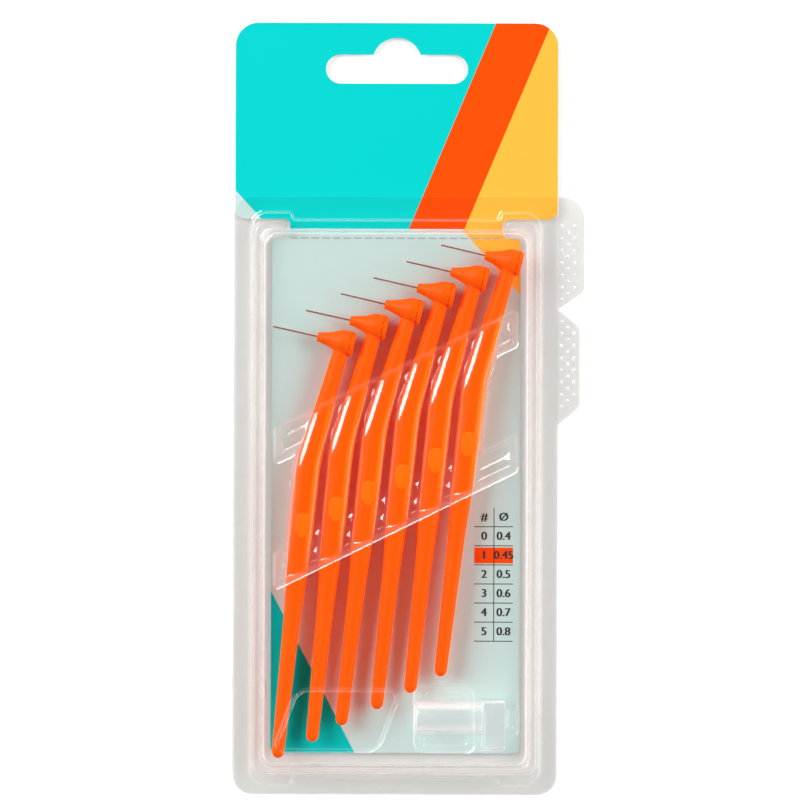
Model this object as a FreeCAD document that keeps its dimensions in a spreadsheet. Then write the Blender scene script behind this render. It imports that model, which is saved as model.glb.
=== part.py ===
import FreeCAD, Part
import math
import os
from types import SimpleNamespace

# Angled interdental brushes in a hinged clear hang pack, millimetres and degrees.
# The pack lies on its back: X to the right, Y towards the hang slot, Z out of the front.
# The origin is on the back sheet's outer face, halfway up the clear pack.

doc = FreeCAD.newDocument("interdental_brush_pack")
vec = FreeCAD.Vector
z_axis = vec(0, 0, 1)

driving_sizes = [
    ("sheet_wall", 0.40, "clear formed sheet"),
    ("closing_gap", 0.05, "air between lid and tray faces that meet when closed"),
    ("card_thickness", 0.40, "printed card"),
    ("insert_width", 56.0, "card below its tear line"),
    ("insert_low", 58.0, "insert's lower edge below the origin"),
    ("insert_corner", 1.4, "insert's corner radius"),
    ("head_room", 5.2, "tear line above the last brush's wire, at its neck"),
    ("neck_notch", 4.1, "side notch that makes room for a snap lug"),
    ("neck_corner", 1.4, "fillet where neck and insert meet"),
    ("header_inset", 0.2, "header's side edges inside the flange's"),
    ("neck_height", 4.3, "header's lower edge above the tear line"),
    ("header_height", 44.2, "card above the clear pack"),
    ("header_round", 5.2, "header's upper corner radius"),
    ("header_corner", 2.2, "header's lower corner radius"),
    ("slot_length", 32.0, "hang slot from end to end"),
    ("slot_band", 6.5, "height of the slot's straight band"),
    ("slot_drop", 10.4, "band's centre below the header's upper edge"),
    ("hump_chord", 10.6, "width of the slot's hump where it leaves the band"),
    ("hump_rise", 3.8, "height of the hump above the band"),
    ("window_side", 1.6, "window's side beyond the insert"),
    ("window_low", 2.4, "window's lower edge beyond the insert"),
    ("window_high", 1.1, "window's upper edge beyond the tear line"),
    ("window_height", 10.5, "front face above the back face"),
    ("window_corner", 3.0, "window's corner radius"),
    ("window_draft", 0.7, "inward lean of the window's walls"),
    ("window_edge", 0.7, "bevel round the front face"),
    ("step_out", 3.2, "ledge beyond the window"),
    ("step_height", 4.2, "ledge above the back face"),
    ("step_corner", 3.6, "ledge's corner radius"),
    ("lug_over", 0.7, "lug pocket's inner end over the card's neck"),
    ("lug_low", 3.4, "lug pocket below the ledge's upper edge"),
    ("lug_high", 1.7, "lug pocket above the ledge's upper edge"),
    ("flange_side", 3.7, "flange beyond the ledge"),
    ("flange_high", 5.0, "flange above the ledge"),
    ("flange_corner", 4.3, "flange's corner radius"),
    ("bead_width", 2.2, "tray's closing bead"),
    ("bead_height", 3.4, "bead above the back face"),
    ("bead_edge", 0.5, "bevel along the bead"),
    ("bead_clear", 0.35, "air between bead and ledge"),
    ("lug_depth", 3.4, "tray's lugs along the pack"),
    ("lug_clear", 0.4, "air between lug and card"),
    ("lid_tab_reach", 5.8, "lid's grip tab beyond the flange"),
    ("lid_tab_length", 25.2, "lid's grip tab along the pack"),
    ("lid_tab_corner", 4.8, "lid's grip tab's corner radius"),
    ("tray_tab_reach", 5.0, "tray's grip tab beyond the flange"),
    ("tray_tab_length", 26.0, "tray's grip tab along the pack"),
    ("tab_slant", 4.0, "slanted end of a grip tab"),
    ("band_slope", 26.2, "lean of the two cross bands"),
    ("band_upper", 7.45, "upper band's centre above the brushes' bends"),
    ("band_lower", 20.55, "lower band's centre below the brushes' bends"),
    ("band_mouth", 9.1, "band's width at the front face"),
    ("band_floor", 5.4, "band's width at its floor"),
    ("band_end", 1.9, "band's ends inside the window's walls"),
    ("band_lift", 0.5, "band's floor above the brushes' middle"),
    ("channel_clear", 0.35, "air between a brush and its arch"),
    ("brush_gap", 0.2, "air between card and brush heads or cap"),
    ("brush_pitch", 7.46, "from one brush to the next across the pack"),
    ("first_bend_in", 8.4, "first brush's bend inside the insert's left edge"),
    ("last_bend_in", 10.0, "least room between the last brush's bend and the insert's right edge"),
    ("end_over", 1.0, "first handle's end beyond the insert's lower edge"),
    ("handle_lean", 6.1, "handle from the pack's upright"),
    ("neck_lean", 16.3, "neck from the pack's upright"),
    ("head_lean", 12.9, "wire from the pack's cross line"),
    ("handle_length", 66.9, "bend to handle's end"),
    ("grip_length", 13.2, "bend to the end of the full-width grip"),
    ("grip_width", 5.3, "handle across at the grip"),
    ("grip_thickness", 4.5, "handle through at the grip"),
    ("end_width", 3.1, "handle across near its end"),
    ("end_thickness", 2.7, "handle through near its end"),
    ("handle_bevel", 0.95, "bevel along the handle's edges"),
    ("facet_share", 0.42, "bevelled share of an eight-sided section"),
    ("neck_length", 28.0, "bend to the wire's axis"),
    ("neck_taper", 14.8, "bend to the slim part of the neck"),
    ("neck_slim", 3.95, "neck across at its slim part"),
    ("neck_tip", 3.4, "neck across under the head"),
    ("neck_flare", 1.2, "spread of the neck into the head"),
    ("neck_behind_nose", 6.0, "neck's axis behind the nose"),
    ("nose_radius", 1.0, "head where the wire leaves it"),
    ("head_radius", 2.82, "head at its widest"),
    ("head_flare", 5.5, "nose to the widest part"),
    ("head_length", 7.4, "nose to the plug's seam"),
    ("flare_sag", 0.2, "hollow of the head's flare"),
    ("plug_thickness", 1.15, "plug behind the seam"),
    ("plug_edge", 0.45, "bevel round the plug"),
    ("spigot_radius", 1.45, "plug's spigot in the head"),
    ("spigot_length", 3.8, "plug's spigot"),
    ("spigot_clear", 0.05, "air round spigot and wire"),
    ("wire_radius", 0.225, "twisted wire"),
    ("wire_length", 10.1, "wire in front of the nose"),
    ("wire_root", 2.4, "wire inside the plug's spigot"),
    ("bristle_radius", 1.1, "reach of the filaments"),
    ("bristle_length", 8.8, "stretch of wire that carries filaments"),
    ("bristle_tip", 0.4, "bare wire at the tip"),
    ("cap_radius", 3.7, "cap's tube"),
    ("cap_wall", 0.5, "wall of the cap's tube"),
    ("cap_length", 20.4, "cap along the wire"),
    ("cap_bevel", 0.7, "bevel of the cap's closed end"),
    ("cap_mouth_in", 3.3, "cap's mouth inside the insert's right edge"),
    ("cap_axis_up", 8.2, "cap's axis above the insert's lower edge"),
    ("collar_length", 5.3, "square collar along the cap"),
    ("collar_high", 4.1, "collar above the cap's axis"),
    ("collar_low", 7.5, "collar below the cap's axis"),
    ("collar_corner", 1.0, "collar's corner radius"),
    ("collar_slot", 4.2, "collar's slot for the neck"),
    ("pocket_over", 0.9, "cap pocket beyond the cap's closed end"),
    ("pocket_reach", 8.6, "cap pocket to each side of the cap's axis"),
    ("pocket_corner", 3.2, "cap pocket's corner radius"),
    ("pocket_floor", 6.0, "cap pocket's floor above the back face"),
    ("stop_width", 2.1, "cap stop along the cap"),
    ("stop_length", 6.0, "cap stop across the cap"),
    ("stop_floor", 4.2, "cap stop's floor above the back face"),
]

sheet = doc.addObject("Spreadsheet::Sheet", "Sizes")
for row, (alias, value, meaning) in enumerate(driving_sizes, start=1):
    sheet.set(f"A{row}", meaning)
    sheet.set(f"B{row}", str(value))
    sheet.setAlias(f"B{row}", alias)
doc.recompute()
mm = SimpleNamespace(**{alias: float(sheet.get(alias)) for alias, _, _ in driving_sizes})


def heading(lean):
    return vec(math.sin(math.radians(lean)), math.cos(math.radians(lean)), 0)


# As many brushes as the insert has room for; their row sets the card's length
band_rise = math.tan(math.radians(mm.band_slope))
brush_gaps = int((mm.insert_width - mm.first_bend_in - mm.last_bend_in) / mm.brush_pitch)
brush_count = brush_gaps + 1
row_width = brush_gaps * mm.brush_pitch
first_bend_x = mm.first_bend_in - mm.insert_width / 2
first_bend_y = (heading(mm.handle_lean) * mm.handle_length).y - mm.end_over - mm.insert_low
last_wire_y = first_bend_y + row_width * band_rise + (heading(mm.neck_lean) * mm.neck_length).y
tear_line = last_wire_y + mm.head_room
header_low = tear_line + mm.neck_height
header_top = header_low + mm.header_height

# Levels and edges that several pieces share
card_top = mm.sheet_wall + mm.card_thickness
lid_flange_z = mm.sheet_wall + mm.closing_gap
brush_z = card_top + mm.brush_gap + mm.head_radius
cap_z = card_top + mm.brush_gap + mm.cap_radius
window_x = mm.insert_width / 2 + mm.window_side
window_y = (-mm.insert_low - mm.window_low, tear_line + mm.window_high)
step_x = window_x + mm.step_out
step_y = (window_y[0] - mm.step_out, window_y[1] + mm.step_out)
flange_x = step_x + mm.flange_side
flange_y = (step_y[0] - mm.flange_side, step_y[1] + mm.flange_high)
neck_x = mm.insert_width / 2 - mm.neck_notch
tab_split = flange_y[1] - mm.lid_tab_length
bend_line_y = first_bend_y - first_bend_x * band_rise
bands = [
    ("upper", bend_line_y + mm.band_upper, mm.neck_lean),
    ("lower", bend_line_y - mm.band_lower, mm.handle_lean),
]
band_floor_z = brush_z + mm.band_lift
cap_mouth_x = mm.insert_width / 2 - mm.cap_mouth_in
cap_axis_y = mm.cap_axis_up - mm.insert_low
collar_x = cap_mouth_x - mm.collar_length


def new_body(label):
    body = doc.addObject("PartDesign::Body", label)
    body.Label = label
    return body


def new_sketch(body, name, placement=None, role="XY_Plane"):
    sketch = body.newObject("Sketcher::SketchObject", name)
    plane = next(f for f in body.Origin.OriginFeatures if f.Role == role)
    sketch.AttachmentSupport = [(plane, "")]
    sketch.MapMode = "FlatFace"
    if placement is not None:
        sketch.AttachmentOffset = plane.Placement.inverse().multiply(placement)
    return sketch


def level(z):
    return FreeCAD.Placement(vec(0, 0, z), FreeCAD.Rotation())


def rounded_outline(corners):
    # Closed outline through (x, y, radius) corners, as lines and arcs
    stretches = []
    for i, (x, y, radius) in enumerate(corners):
        here = vec(x, y, 0)
        to_last = (vec(*corners[i - 1][:2], 0) - here).normalize()
        to_next = (vec(*corners[(i + 1) % len(corners)][:2], 0) - here).normalize()
        half = to_last.getAngle(to_next) / 2
        reach = radius / math.tan(half)
        middle = here + (to_last + to_next).normalize() * (radius / math.sin(half) - radius)
        stretches.append((here + to_last * reach, middle, here + to_next * reach))
    edges = []
    for i, (start, middle, end) in enumerate(stretches):
        if (start - end).Length > 1e-6:
            edges.append(Part.Arc(start, middle, end))
        edges.append(Part.LineSegment(end, stretches[(i + 1) % len(stretches)][0]))
    return edges


def rectangle(x, y, radius):
    return rounded_outline(
        [(x[0], y[0], radius), (x[1], y[0], radius), (x[1], y[1], radius), (x[0], y[1], radius)]
    )


def polygon(points):
    corners = [vec(x, y, 0) for x, y in points]
    return [Part.LineSegment(corners[i - 1], corners[i]) for i in range(len(corners))]


def eight_sided(width, thickness):
    # Bevelled rectangle round the origin
    a, b = width / 2, thickness / 2
    c, d = a * (1 - mm.facet_share), b * (1 - mm.facet_share)
    return polygon([(a, -d), (a, d), (c, b), (-c, b), (-a, d), (-a, -d), (-c, -b), (c, -b)])


def across_run(run):
    # Turns a sketch square to a run that lies in the XY plane, with the sketch's Y up
    right = run.cross(z_axis)
    return FreeCAD.Rotation(right, z_axis, right.cross(z_axis))


def pad(body, name, edges, length, placement=None, kind="Pad", **settings):
    sketch = new_sketch(body, f"{name}_sketch", placement)
    sketch.addGeometry(edges)
    feature = body.newObject(f"PartDesign::{kind}", name)
    feature.Profile = sketch
    feature.setExpression("Length", length)
    for key, value in settings.items():
        setattr(feature, key, value)
    doc.recompute()
    return feature


def revolve(body, name, edges, placement, kind="Revolution"):
    sketch = new_sketch(body, f"{name}_sketch", placement)
    sketch.addGeometry(edges)
    feature = body.newObject(f"PartDesign::{kind}", name)
    feature.Profile = sketch
    feature.ReferenceAxis = (sketch, ["H_Axis"])
    feature.Angle = 360
    doc.recompute()
    return feature


def top_edges(feature, z):
    # Names of the edges that lie flat at height z
    return [
        f"Edge{i}"
        for i, edge in enumerate(feature.Shape.Edges, start=1)
        if abs(edge.BoundBox.ZMin - z) < 1e-6 and abs(edge.BoundBox.ZMax - z) < 1e-6
    ]


def bevel_top(body, name, base, z, size):
    bevel = body.newObject("PartDesign::Chamfer", name)
    bevel.Base = (base, top_edges(base, z))
    bevel.setExpression("Size", size)
    doc.recompute()
    return bevel


def build_card():
    body = new_body("card")
    header = flange_x - mm.header_inset
    insert = mm.insert_width / 2
    right = [
        (insert, -mm.insert_low, mm.insert_corner),
        (insert, tear_line, mm.insert_corner),
        (neck_x, tear_line, mm.neck_corner),
        (neck_x, header_low, mm.neck_corner),
        (header, header_low, mm.header_corner),
        (header, header_top, mm.header_round),
    ]
    left = [(-x, y, radius) for x, y, radius in reversed(right)]
    pad(body, "card_sheet", rounded_outline(right + left), "Sizes.card_thickness", level(mm.sheet_wall))

    end = mm.slot_length / 2
    round_end = mm.slot_band / 2
    middle = header_top - mm.slot_drop
    low, high = middle - round_end, middle + round_end
    hump = mm.hump_chord / 2
    slot = [
        Part.LineSegment(vec(round_end - end, low, 0), vec(end - round_end, low, 0)),
        Part.Arc(vec(end - round_end, low, 0), vec(end, middle, 0), vec(end - round_end, high, 0)),
        Part.LineSegment(vec(end - round_end, high, 0), vec(hump, high, 0)),
        Part.Arc(vec(hump, high, 0), vec(0, high + mm.hump_rise, 0), vec(-hump, high, 0)),
        Part.LineSegment(vec(-hump, high, 0), vec(round_end - end, high, 0)),
        Part.Arc(vec(round_end - end, high, 0), vec(-end, middle, 0), vec(round_end - end, low, 0)),
    ]
    pad(body, "hang_slot", slot, "Sizes.card_thickness", level(card_top), "Pocket")
    return body


def flange_outline(reach, tab_high, tab_low, tab_corner):
    # Flange with a grip tab on its right edge, between two heights
    corner = mm.flange_corner
    tab = flange_x + reach
    outline = [(-flange_x, flange_y[0], corner), (flange_x, flange_y[0], corner)]
    outline.append((flange_x, tab_low, mm.closing_gap))
    outline.append((tab, tab_low + mm.tab_slant, mm.tab_slant / 2))
    if tab_high < flange_y[1]:
        outline.append((tab, tab_high - mm.tab_slant, mm.tab_slant / 2))
        outline.append((flange_x, tab_high, mm.closing_gap))
        outline.append((flange_x, flange_y[1], corner))
    else:
        outline.append((tab, tab_high, tab_corner))
    outline.append((-flange_x, flange_y[1], corner))
    return rounded_outline(outline)


def bead_outline(inset):
    # U-shaped bead round the card, with its two ends turned in as lugs
    outer_x = step_x - mm.sheet_wall - mm.bead_clear - inset
    inner_x = outer_x - mm.bead_width + 2 * inset
    outer_low = step_y[0] + mm.sheet_wall + mm.bead_clear + inset
    inner_low = outer_low + mm.bead_width - 2 * inset
    lug_high = header_low - mm.lug_clear - inset
    lug_low = lug_high - mm.lug_depth + 2 * inset
    lug_end = neck_x + mm.lug_clear + inset
    outer_corner = mm.step_corner - mm.sheet_wall - mm.bead_clear - inset
    inner_corner = outer_corner - mm.bead_width / 2
    end_corner = mm.lug_depth / 4
    right = [
        (outer_x, outer_low, outer_corner),
        (outer_x, lug_high, outer_corner),
        (lug_end, lug_high, end_corner),
        (lug_end, lug_low, end_corner),
        (inner_x, lug_low, inner_corner),
        (inner_x, inner_low, inner_corner),
    ]
    left = [(-x, y, radius) for x, y, radius in reversed(right)]
    return rounded_outline(right + left)


def build_back_shell():
    body = new_body("back_shell")
    tab_high = tab_split - mm.closing_gap
    tab_low = tab_split - mm.tray_tab_length
    outline = flange_outline(mm.tray_tab_reach, tab_high, tab_low, mm.lid_tab_corner)
    pad(body, "back_sheet", outline, "Sizes.sheet_wall")
    bead = pad(body, "closing_bead", bead_outline(0), "Sizes.bead_height")
    bevel_top(body, "bead_bevel", bead, mm.bead_height, "Sizes.bead_edge")
    pad(
        body,
        "bead_hollow",
        bead_outline(mm.sheet_wall),
        "Sizes.bead_height - Sizes.sheet_wall",
        kind="Pocket",
        Reversed=True,
    )
    return body


def cut_band(mould, name, centre_y, inset):
    # Tapered trough along a slanted cross line, with upright ends inside the window's side walls
    slope = math.radians(mm.band_slope)
    along = vec(math.cos(slope), math.sin(slope), 0)
    across = vec(-math.sin(slope), math.cos(slope), 0)
    section = FreeCAD.Placement(vec(0, centre_y, 0), FreeCAD.Rotation(across, z_axis, along))
    floor = band_floor_z - inset
    mouth = mm.window_height + mm.sheet_wall
    body = new_body(f"{mould}_{name}")
    widen = (mm.band_mouth - mm.band_floor) / 2 / (mm.window_height - band_floor_z)
    half_floor = mm.band_floor / 2 + inset
    half_mouth = half_floor + widen * (mouth - floor)
    trapezium = [(-half_floor, floor), (half_floor, floor), (half_mouth, mouth), (-half_mouth, mouth)]
    pad(body, f"{mould}_{name}_trough", polygon(trapezium), "3 * Sizes.handle_length", section, Midplane=True)
    end = window_x - mm.band_end + inset
    trim = doc.addObject("Part::Box", f"{mould}_{name}_ends")
    trim.Length = 2 * end
    trim.setExpression("Width", "4 * Sizes.handle_length")
    trim.setExpression("Height", "2 * Sizes.window_height")
    trim.Placement = FreeCAD.Placement(vec(-end, centre_y - 2 * mm.handle_length, 0), FreeCAD.Rotation())
    band = doc.addObject("Part::Common", f"{mould}_{name}_cut")
    band.Base = body
    band.Tool = trim
    return band


def brush_bend(index):
    # The brushes stand side by side, each as much higher as the bands rise
    across = index * mm.brush_pitch
    return vec(first_bend_x + across, first_bend_y + across * band_rise, brush_z)


def arch_over(mould, name, index, lean, centre_y, clearance):
    # Arch over one brush where it passes under a cross band, with the handle's eight-sided section
    along = heading(lean)
    bend = brush_bend(index)
    run = (centre_y + band_rise * bend.x - bend.y) / (along.y - band_rise * along.x)
    body = new_body(f"{mould}_{name}_arch_{index + 1}")
    section = eight_sided(mm.grip_width + 2 * clearance, mm.grip_thickness + 2 * clearance)
    place = FreeCAD.Placement(bend + along * run, across_run(along))
    pad(body, f"{body.Label}_pad", section, "2 * Sizes.band_mouth", place, Midplane=True)
    return body


def build_lid_mould(mould, inset):
    # Solid form of the lid; the lid's sheet lies between two such forms
    body = new_body(mould)
    foot = lid_flange_z - inset
    step_rise = "Sizes.step_height - Sizes.sheet_wall - Sizes.closing_gap"
    pad(
        body,
        f"{mould}_step",
        rectangle(
            (inset - step_x, step_x - inset),
            (step_y[0] + inset, step_y[1] - inset),
            mm.step_corner - inset,
        ),
        step_rise,
        level(foot),
    )
    for side in (-1, 1):
        ends = sorted((side * (neck_x - mm.lug_over + inset), side * (step_x - inset)))
        pad(
            body,
            f"{mould}_lug_{'left' if side < 0 else 'right'}",
            rectangle(
                ends,
                (step_y[1] - mm.lug_low + inset, step_y[1] + mm.lug_high - inset),
                mm.lug_high - inset,
            ),
            step_rise,
            level(foot),
        )
    face = mm.window_height - inset
    window = body.newObject("PartDesign::AdditiveLoft", f"{mould}_window")
    rings = []
    for name, z, lean in (("foot", foot, mm.window_draft), ("face", face, 0.0)):
        grow = lean - inset
        ring = new_sketch(body, f"{mould}_window_{name}", level(z))
        ring.addGeometry(
            rectangle(
                (-window_x - grow, window_x + grow),
                (window_y[0] - grow, window_y[1] + grow),
                mm.window_corner + grow,
            )
        )
        rings.append(ring)
    window.Profile = rings[0]
    window.Sections = rings[1:]
    window.Ruled = True
    doc.recompute()
    bevel_top(body, f"{mould}_face_bevel", window, face, "Sizes.window_edge")
    return body


def build_lid_form(mould, inset):
    form = build_lid_mould(mould, inset)
    wall = mm.sheet_wall - inset
    cuts = [cut_band(mould, name, centre_y, inset) for name, centre_y, _ in bands]
    cuts.append(cap_pocket(mould, inset))
    cuts.append(cap_stop(mould, inset))
    arches = []
    for name, centre_y, lean in bands:
        for index in range(brush_count):
            arches.append(arch_over(mould, name, index, lean, centre_y, mm.channel_clear + wall))
    arches.append(cap_arch(mould, mm.cap_radius + mm.channel_clear + wall))
    hollows = doc.addObject("Part::MultiFuse", f"{mould}_hollows")
    hollows.Shapes = cuts
    ridges = doc.addObject("Part::MultiFuse", f"{mould}_ridges")
    ridges.Shapes = arches
    troughs = doc.addObject("Part::Cut", f"{mould}_troughs")
    troughs.Base = hollows
    troughs.Tool = ridges
    shaped = doc.addObject("Part::Cut", f"{mould}_form")
    shaped.Base = form
    shaped.Tool = troughs
    doc.recompute()
    return shaped


def cap_pocket(mould, inset):
    body = new_body(f"{mould}_cap_pocket")
    left = cap_mouth_x - mm.cap_length - mm.pocket_over
    right = collar_x - mm.channel_clear - mm.sheet_wall
    edges = rectangle(
        (left - inset, right + inset),
        (cap_axis_y - mm.pocket_reach - inset, cap_axis_y + mm.pocket_reach + inset),
        mm.pocket_corner + inset,
    )
    floor = mm.pocket_floor - inset
    pad(body, f"{mould}_cap_pocket_pad", edges, "Sizes.window_height", level(floor))
    return body


def cap_stop(mould, inset):
    body = new_body(f"{mould}_cap_stop")
    start = cap_mouth_x + mm.channel_clear + mm.sheet_wall
    edges = rectangle(
        (start - inset, start + mm.stop_width + inset),
        (cap_axis_y - mm.stop_length / 2 - inset, cap_axis_y + mm.stop_length / 2 + inset),
        mm.stop_width / 2 - mm.closing_gap + inset,
    )
    pad(body, f"{mould}_cap_stop_pad", edges, "Sizes.window_height", level(mm.stop_floor - inset))
    return body


def cap_arch(mould, radius):
    arch = doc.addObject("Part::Cylinder", f"{mould}_cap_arch")
    arch.Radius = radius
    arch.setExpression("Height", "2 * Sizes.cap_length")
    start = vec(cap_mouth_x - 2 * mm.cap_length, cap_axis_y, cap_z)
    arch.Placement = FreeCAD.Placement(start, FreeCAD.Rotation(z_axis, vec(1, 0, 0)))
    return arch


def build_front_shell():
    flange = new_body("lid_flange")
    outline = flange_outline(mm.lid_tab_reach, flange_y[1], tab_split, mm.lid_tab_corner)
    pad(flange, "flange_sheet", outline, "Sizes.sheet_wall", level(lid_flange_z))
    raised = new_body("lid_raised_flange")
    pad(raised, "raised_sheet", outline, "Sizes.card_thickness + Sizes.sheet_wall", level(lid_flange_z))
    rise_y = header_low - mm.header_corner / 2
    far = 4 * mm.handle_length
    below_rise = doc.addObject("Part::Box", "flange_below_rise")
    below_rise.Length = far
    below_rise.Width = far
    below_rise.Height = far
    below_rise.Placement = FreeCAD.Placement(vec(-far / 2, rise_y - far, -far / 2), FreeCAD.Rotation())
    under_rise = doc.addObject("Part::Box", "gap_under_raised_flange")
    under_rise.Length = far
    under_rise.Width = far
    under_rise.setExpression("Height", "Sizes.card_thickness")
    under_rise.Placement = FreeCAD.Placement(
        vec(-far / 2, rise_y + mm.sheet_wall, lid_flange_z), FreeCAD.Rotation()
    )
    step_up = doc.addObject("Part::Cut", "flange_step_up")
    step_up.Base = raised
    step_up.Tool = below_rise
    solid_lid = doc.addObject("Part::MultiFuse", "solid_lid")
    solid_lid.Shapes = [flange, step_up, build_lid_form("outer", 0.0)]
    over_card = doc.addObject("Part::Cut", "lid_over_card")
    over_card.Base = solid_lid
    over_card.Tool = under_rise
    shell = doc.addObject("Part::Cut", "front_shell")
    shell.Base = over_card
    shell.Tool = build_lid_form("inner", mm.sheet_wall)
    doc.recompute()
    return shell


def build_cap():
    body = new_body("cap")
    start = vec(cap_mouth_x - mm.cap_length, cap_axis_y, cap_z)
    axis = FreeCAD.Placement(start, FreeCAD.Rotation())
    outer, bore = mm.cap_radius, mm.cap_radius - mm.cap_wall
    bevel = mm.cap_bevel
    tube = [(0, 0), (mm.cap_length, 0), (mm.cap_length, outer), (bevel, outer), (0, outer - bevel)]
    revolve(body, "cap_tube", polygon(tube), axis)

    across = FreeCAD.Rotation(vec(0, 1, 0), z_axis, vec(1, 0, 0))
    collar_back = vec(collar_x, cap_axis_y, cap_z)
    collar = rectangle((-mm.collar_low, mm.collar_high), (-outer, outer), mm.collar_corner)
    pad(body, "cap_collar", collar, "Sizes.collar_length", FreeCAD.Placement(collar_back, across))

    hollow = polygon([(mm.cap_wall, 0), (mm.cap_length, 0), (mm.cap_length, bore), (mm.cap_wall, bore)])
    revolve(body, "cap_bore", hollow, axis, "Groove")
    half_slot = mm.collar_slot / 2
    slot = polygon(
        [(-mm.collar_low, -half_slot), (0, -half_slot), (0, half_slot), (-mm.collar_low, half_slot)]
    )
    mouth = FreeCAD.Placement(start + vec(mm.cap_length, 0, 0), across)
    pad(body, "neck_slot", slot, "Sizes.collar_length - Sizes.cap_wall", mouth, "Pocket")
    return body


def brush_frames(index):
    # Bend of one brush, and its wire's axis from the nose backwards
    back = heading(mm.head_lean).cross(z_axis)
    bend = brush_bend(index)
    joint = bend + heading(mm.neck_lean) * mm.neck_length
    nose = joint - back * mm.neck_behind_nose
    side = z_axis.cross(back)
    return bend, FreeCAD.Placement(nose, FreeCAD.Rotation(back, side, z_axis)), back


def handle_stations(bend):
    # Middle, half width and half thickness of the handle and neck from the free end to the head
    slim = mm.neck_slim / mm.grip_width * mm.grip_thickness
    spread = mm.neck_tip + mm.neck_flare
    runs = [
        (-mm.handle_length, mm.handle_lean, mm.end_width, mm.end_thickness),
        (-mm.grip_length, mm.handle_lean, mm.grip_width, mm.grip_thickness),
        (0, mm.handle_lean, mm.grip_width, mm.grip_thickness),
        (mm.neck_taper, mm.neck_lean, mm.neck_slim, slim),
        (mm.neck_length - mm.head_radius, mm.neck_lean, mm.neck_tip, mm.neck_tip),
        (mm.neck_length, mm.neck_lean, spread, spread),
    ]
    return [(bend + heading(lean) * run, width / 2, deep / 2) for run, lean, width, deep in runs]


def build_shaft(index):
    # Handle and neck as what four outlines share, seen from the front, the side and both slants
    bend = brush_bend(index)
    along = heading(mm.handle_lean)
    outlines = []
    for turn in (0, 45, 90, 135):
        angle = math.radians(turn)
        lateral = along.cross(z_axis) * math.cos(angle) + z_axis * math.sin(angle)
        near, far = [], []
        for point, half_width, half_deep in handle_stations(bend):
            half_slant = (half_width + half_deep - mm.handle_bevel) * math.sqrt(0.5)
            half = {0: half_width, 90: half_deep}.get(turn, half_slant)
            run = (point - bend).dot(along)
            offset = (point - bend).dot(lateral)
            near.append((run, offset - half))
            far.append((run, offset + half))
        body = new_body(f"shaft_{index + 1}_from_{turn}")
        view = FreeCAD.Placement(bend, FreeCAD.Rotation(along, lateral, along.cross(lateral)))
        outline = polygon(near + far[::-1])
        pad(body, f"{body.Label}_pad", outline, "Sizes.handle_length", view, Midplane=True)
        outlines.append(body)
    shaft = doc.addObject("Part::MultiCommon", f"shaft_{index + 1}")
    shaft.Shapes = outlines
    return shaft


def build_head(index):
    body = new_body(f"head_{index + 1}")
    _, nose, _ = brush_frames(index)
    wide, seam = mm.head_radius, mm.head_length
    hollow_flare = (mm.head_flare / 2, (mm.nose_radius + wide) / 2 - mm.flare_sag)
    flare = [(0, 0), (0, mm.nose_radius), hollow_flare, (mm.head_flare, wide), (seam, wide), (seam, 0)]
    revolve(body, f"head_{index + 1}_flare", polygon(flare), nose)
    return body


def build_head_hollow(index):
    # Room for the plug behind the seam, its spigot's socket and the wire's bore
    body = new_body(f"head_hollow_{index + 1}")
    _, nose, back = brush_frames(index)
    seam = mm.head_length
    behind = seam + 2 * mm.plug_thickness
    rim = mm.head_radius + mm.brush_gap
    room = polygon([(seam, 0), (seam, rim), (behind, rim), (behind, 0)])
    revolve(body, f"plug_room_{index + 1}", room, nose)
    width = 2 * (mm.spigot_radius + mm.spigot_clear)
    mouth = FreeCAD.Placement(nose.Base + back * seam, across_run(back))
    depth = "Sizes.spigot_length + Sizes.spigot_clear"
    pad(body, f"socket_{index + 1}", eight_sided(width, width), depth, mouth)
    pad(body, f"bore_{index + 1}", wire_bore(), "2 * Sizes.head_length", mouth)
    return body


def build_handle(index):
    shaft, head, hollow = build_shaft(index), build_head(index), build_head_hollow(index)
    moulding = doc.addObject("Part::Fuse", f"moulding_{index + 1}")
    moulding.Base = shaft
    moulding.Tool = head
    handle = doc.addObject("Part::Cut", f"handle_{index + 1}")
    handle.Base = moulding
    handle.Tool = hollow
    doc.recompute()
    return handle


def build_plug(index):
    body = new_body(f"head_plug_{index + 1}")
    _, nose, back = brush_frames(index)
    seam = FreeCAD.Placement(nose.Base + back * mm.head_length, nose.Rotation)
    wide, edge, thick = mm.head_radius, mm.plug_edge, mm.plug_thickness
    profile = polygon([(0, 0), (0, wide), (thick - edge, wide), (thick, wide - edge), (thick, 0)])
    revolve(body, f"plug_{index + 1}_disc", profile, seam)
    spigot = eight_sided(2 * mm.spigot_radius, 2 * mm.spigot_radius)
    face = FreeCAD.Placement(seam.Base, across_run(back))
    pad(body, f"plug_{index + 1}_spigot", spigot, "Sizes.spigot_length", face)
    front = FreeCAD.Placement(seam.Base - back * mm.spigot_length, across_run(back))
    depth = "Sizes.wire_root + Sizes.spigot_clear"
    pad(body, f"plug_{index + 1}_bore", wire_bore(), depth, front, "Pocket")
    return body


def build_wire(index):
    body = new_body(f"wire_{index + 1}")
    _, nose, back = brush_frames(index)
    tip = FreeCAD.Placement(nose.Base - back * mm.wire_length, across_run(-back))
    section = eight_sided(2 * mm.wire_radius, 2 * mm.wire_radius)
    length = "Sizes.wire_length + Sizes.head_length - Sizes.spigot_length + Sizes.wire_root"
    pad(body, f"wire_{index + 1}_pad", section, length, tip)
    return body


def wire_bore():
    width = 2 * (mm.wire_radius + mm.spigot_clear)
    return eight_sided(width, width)


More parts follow.
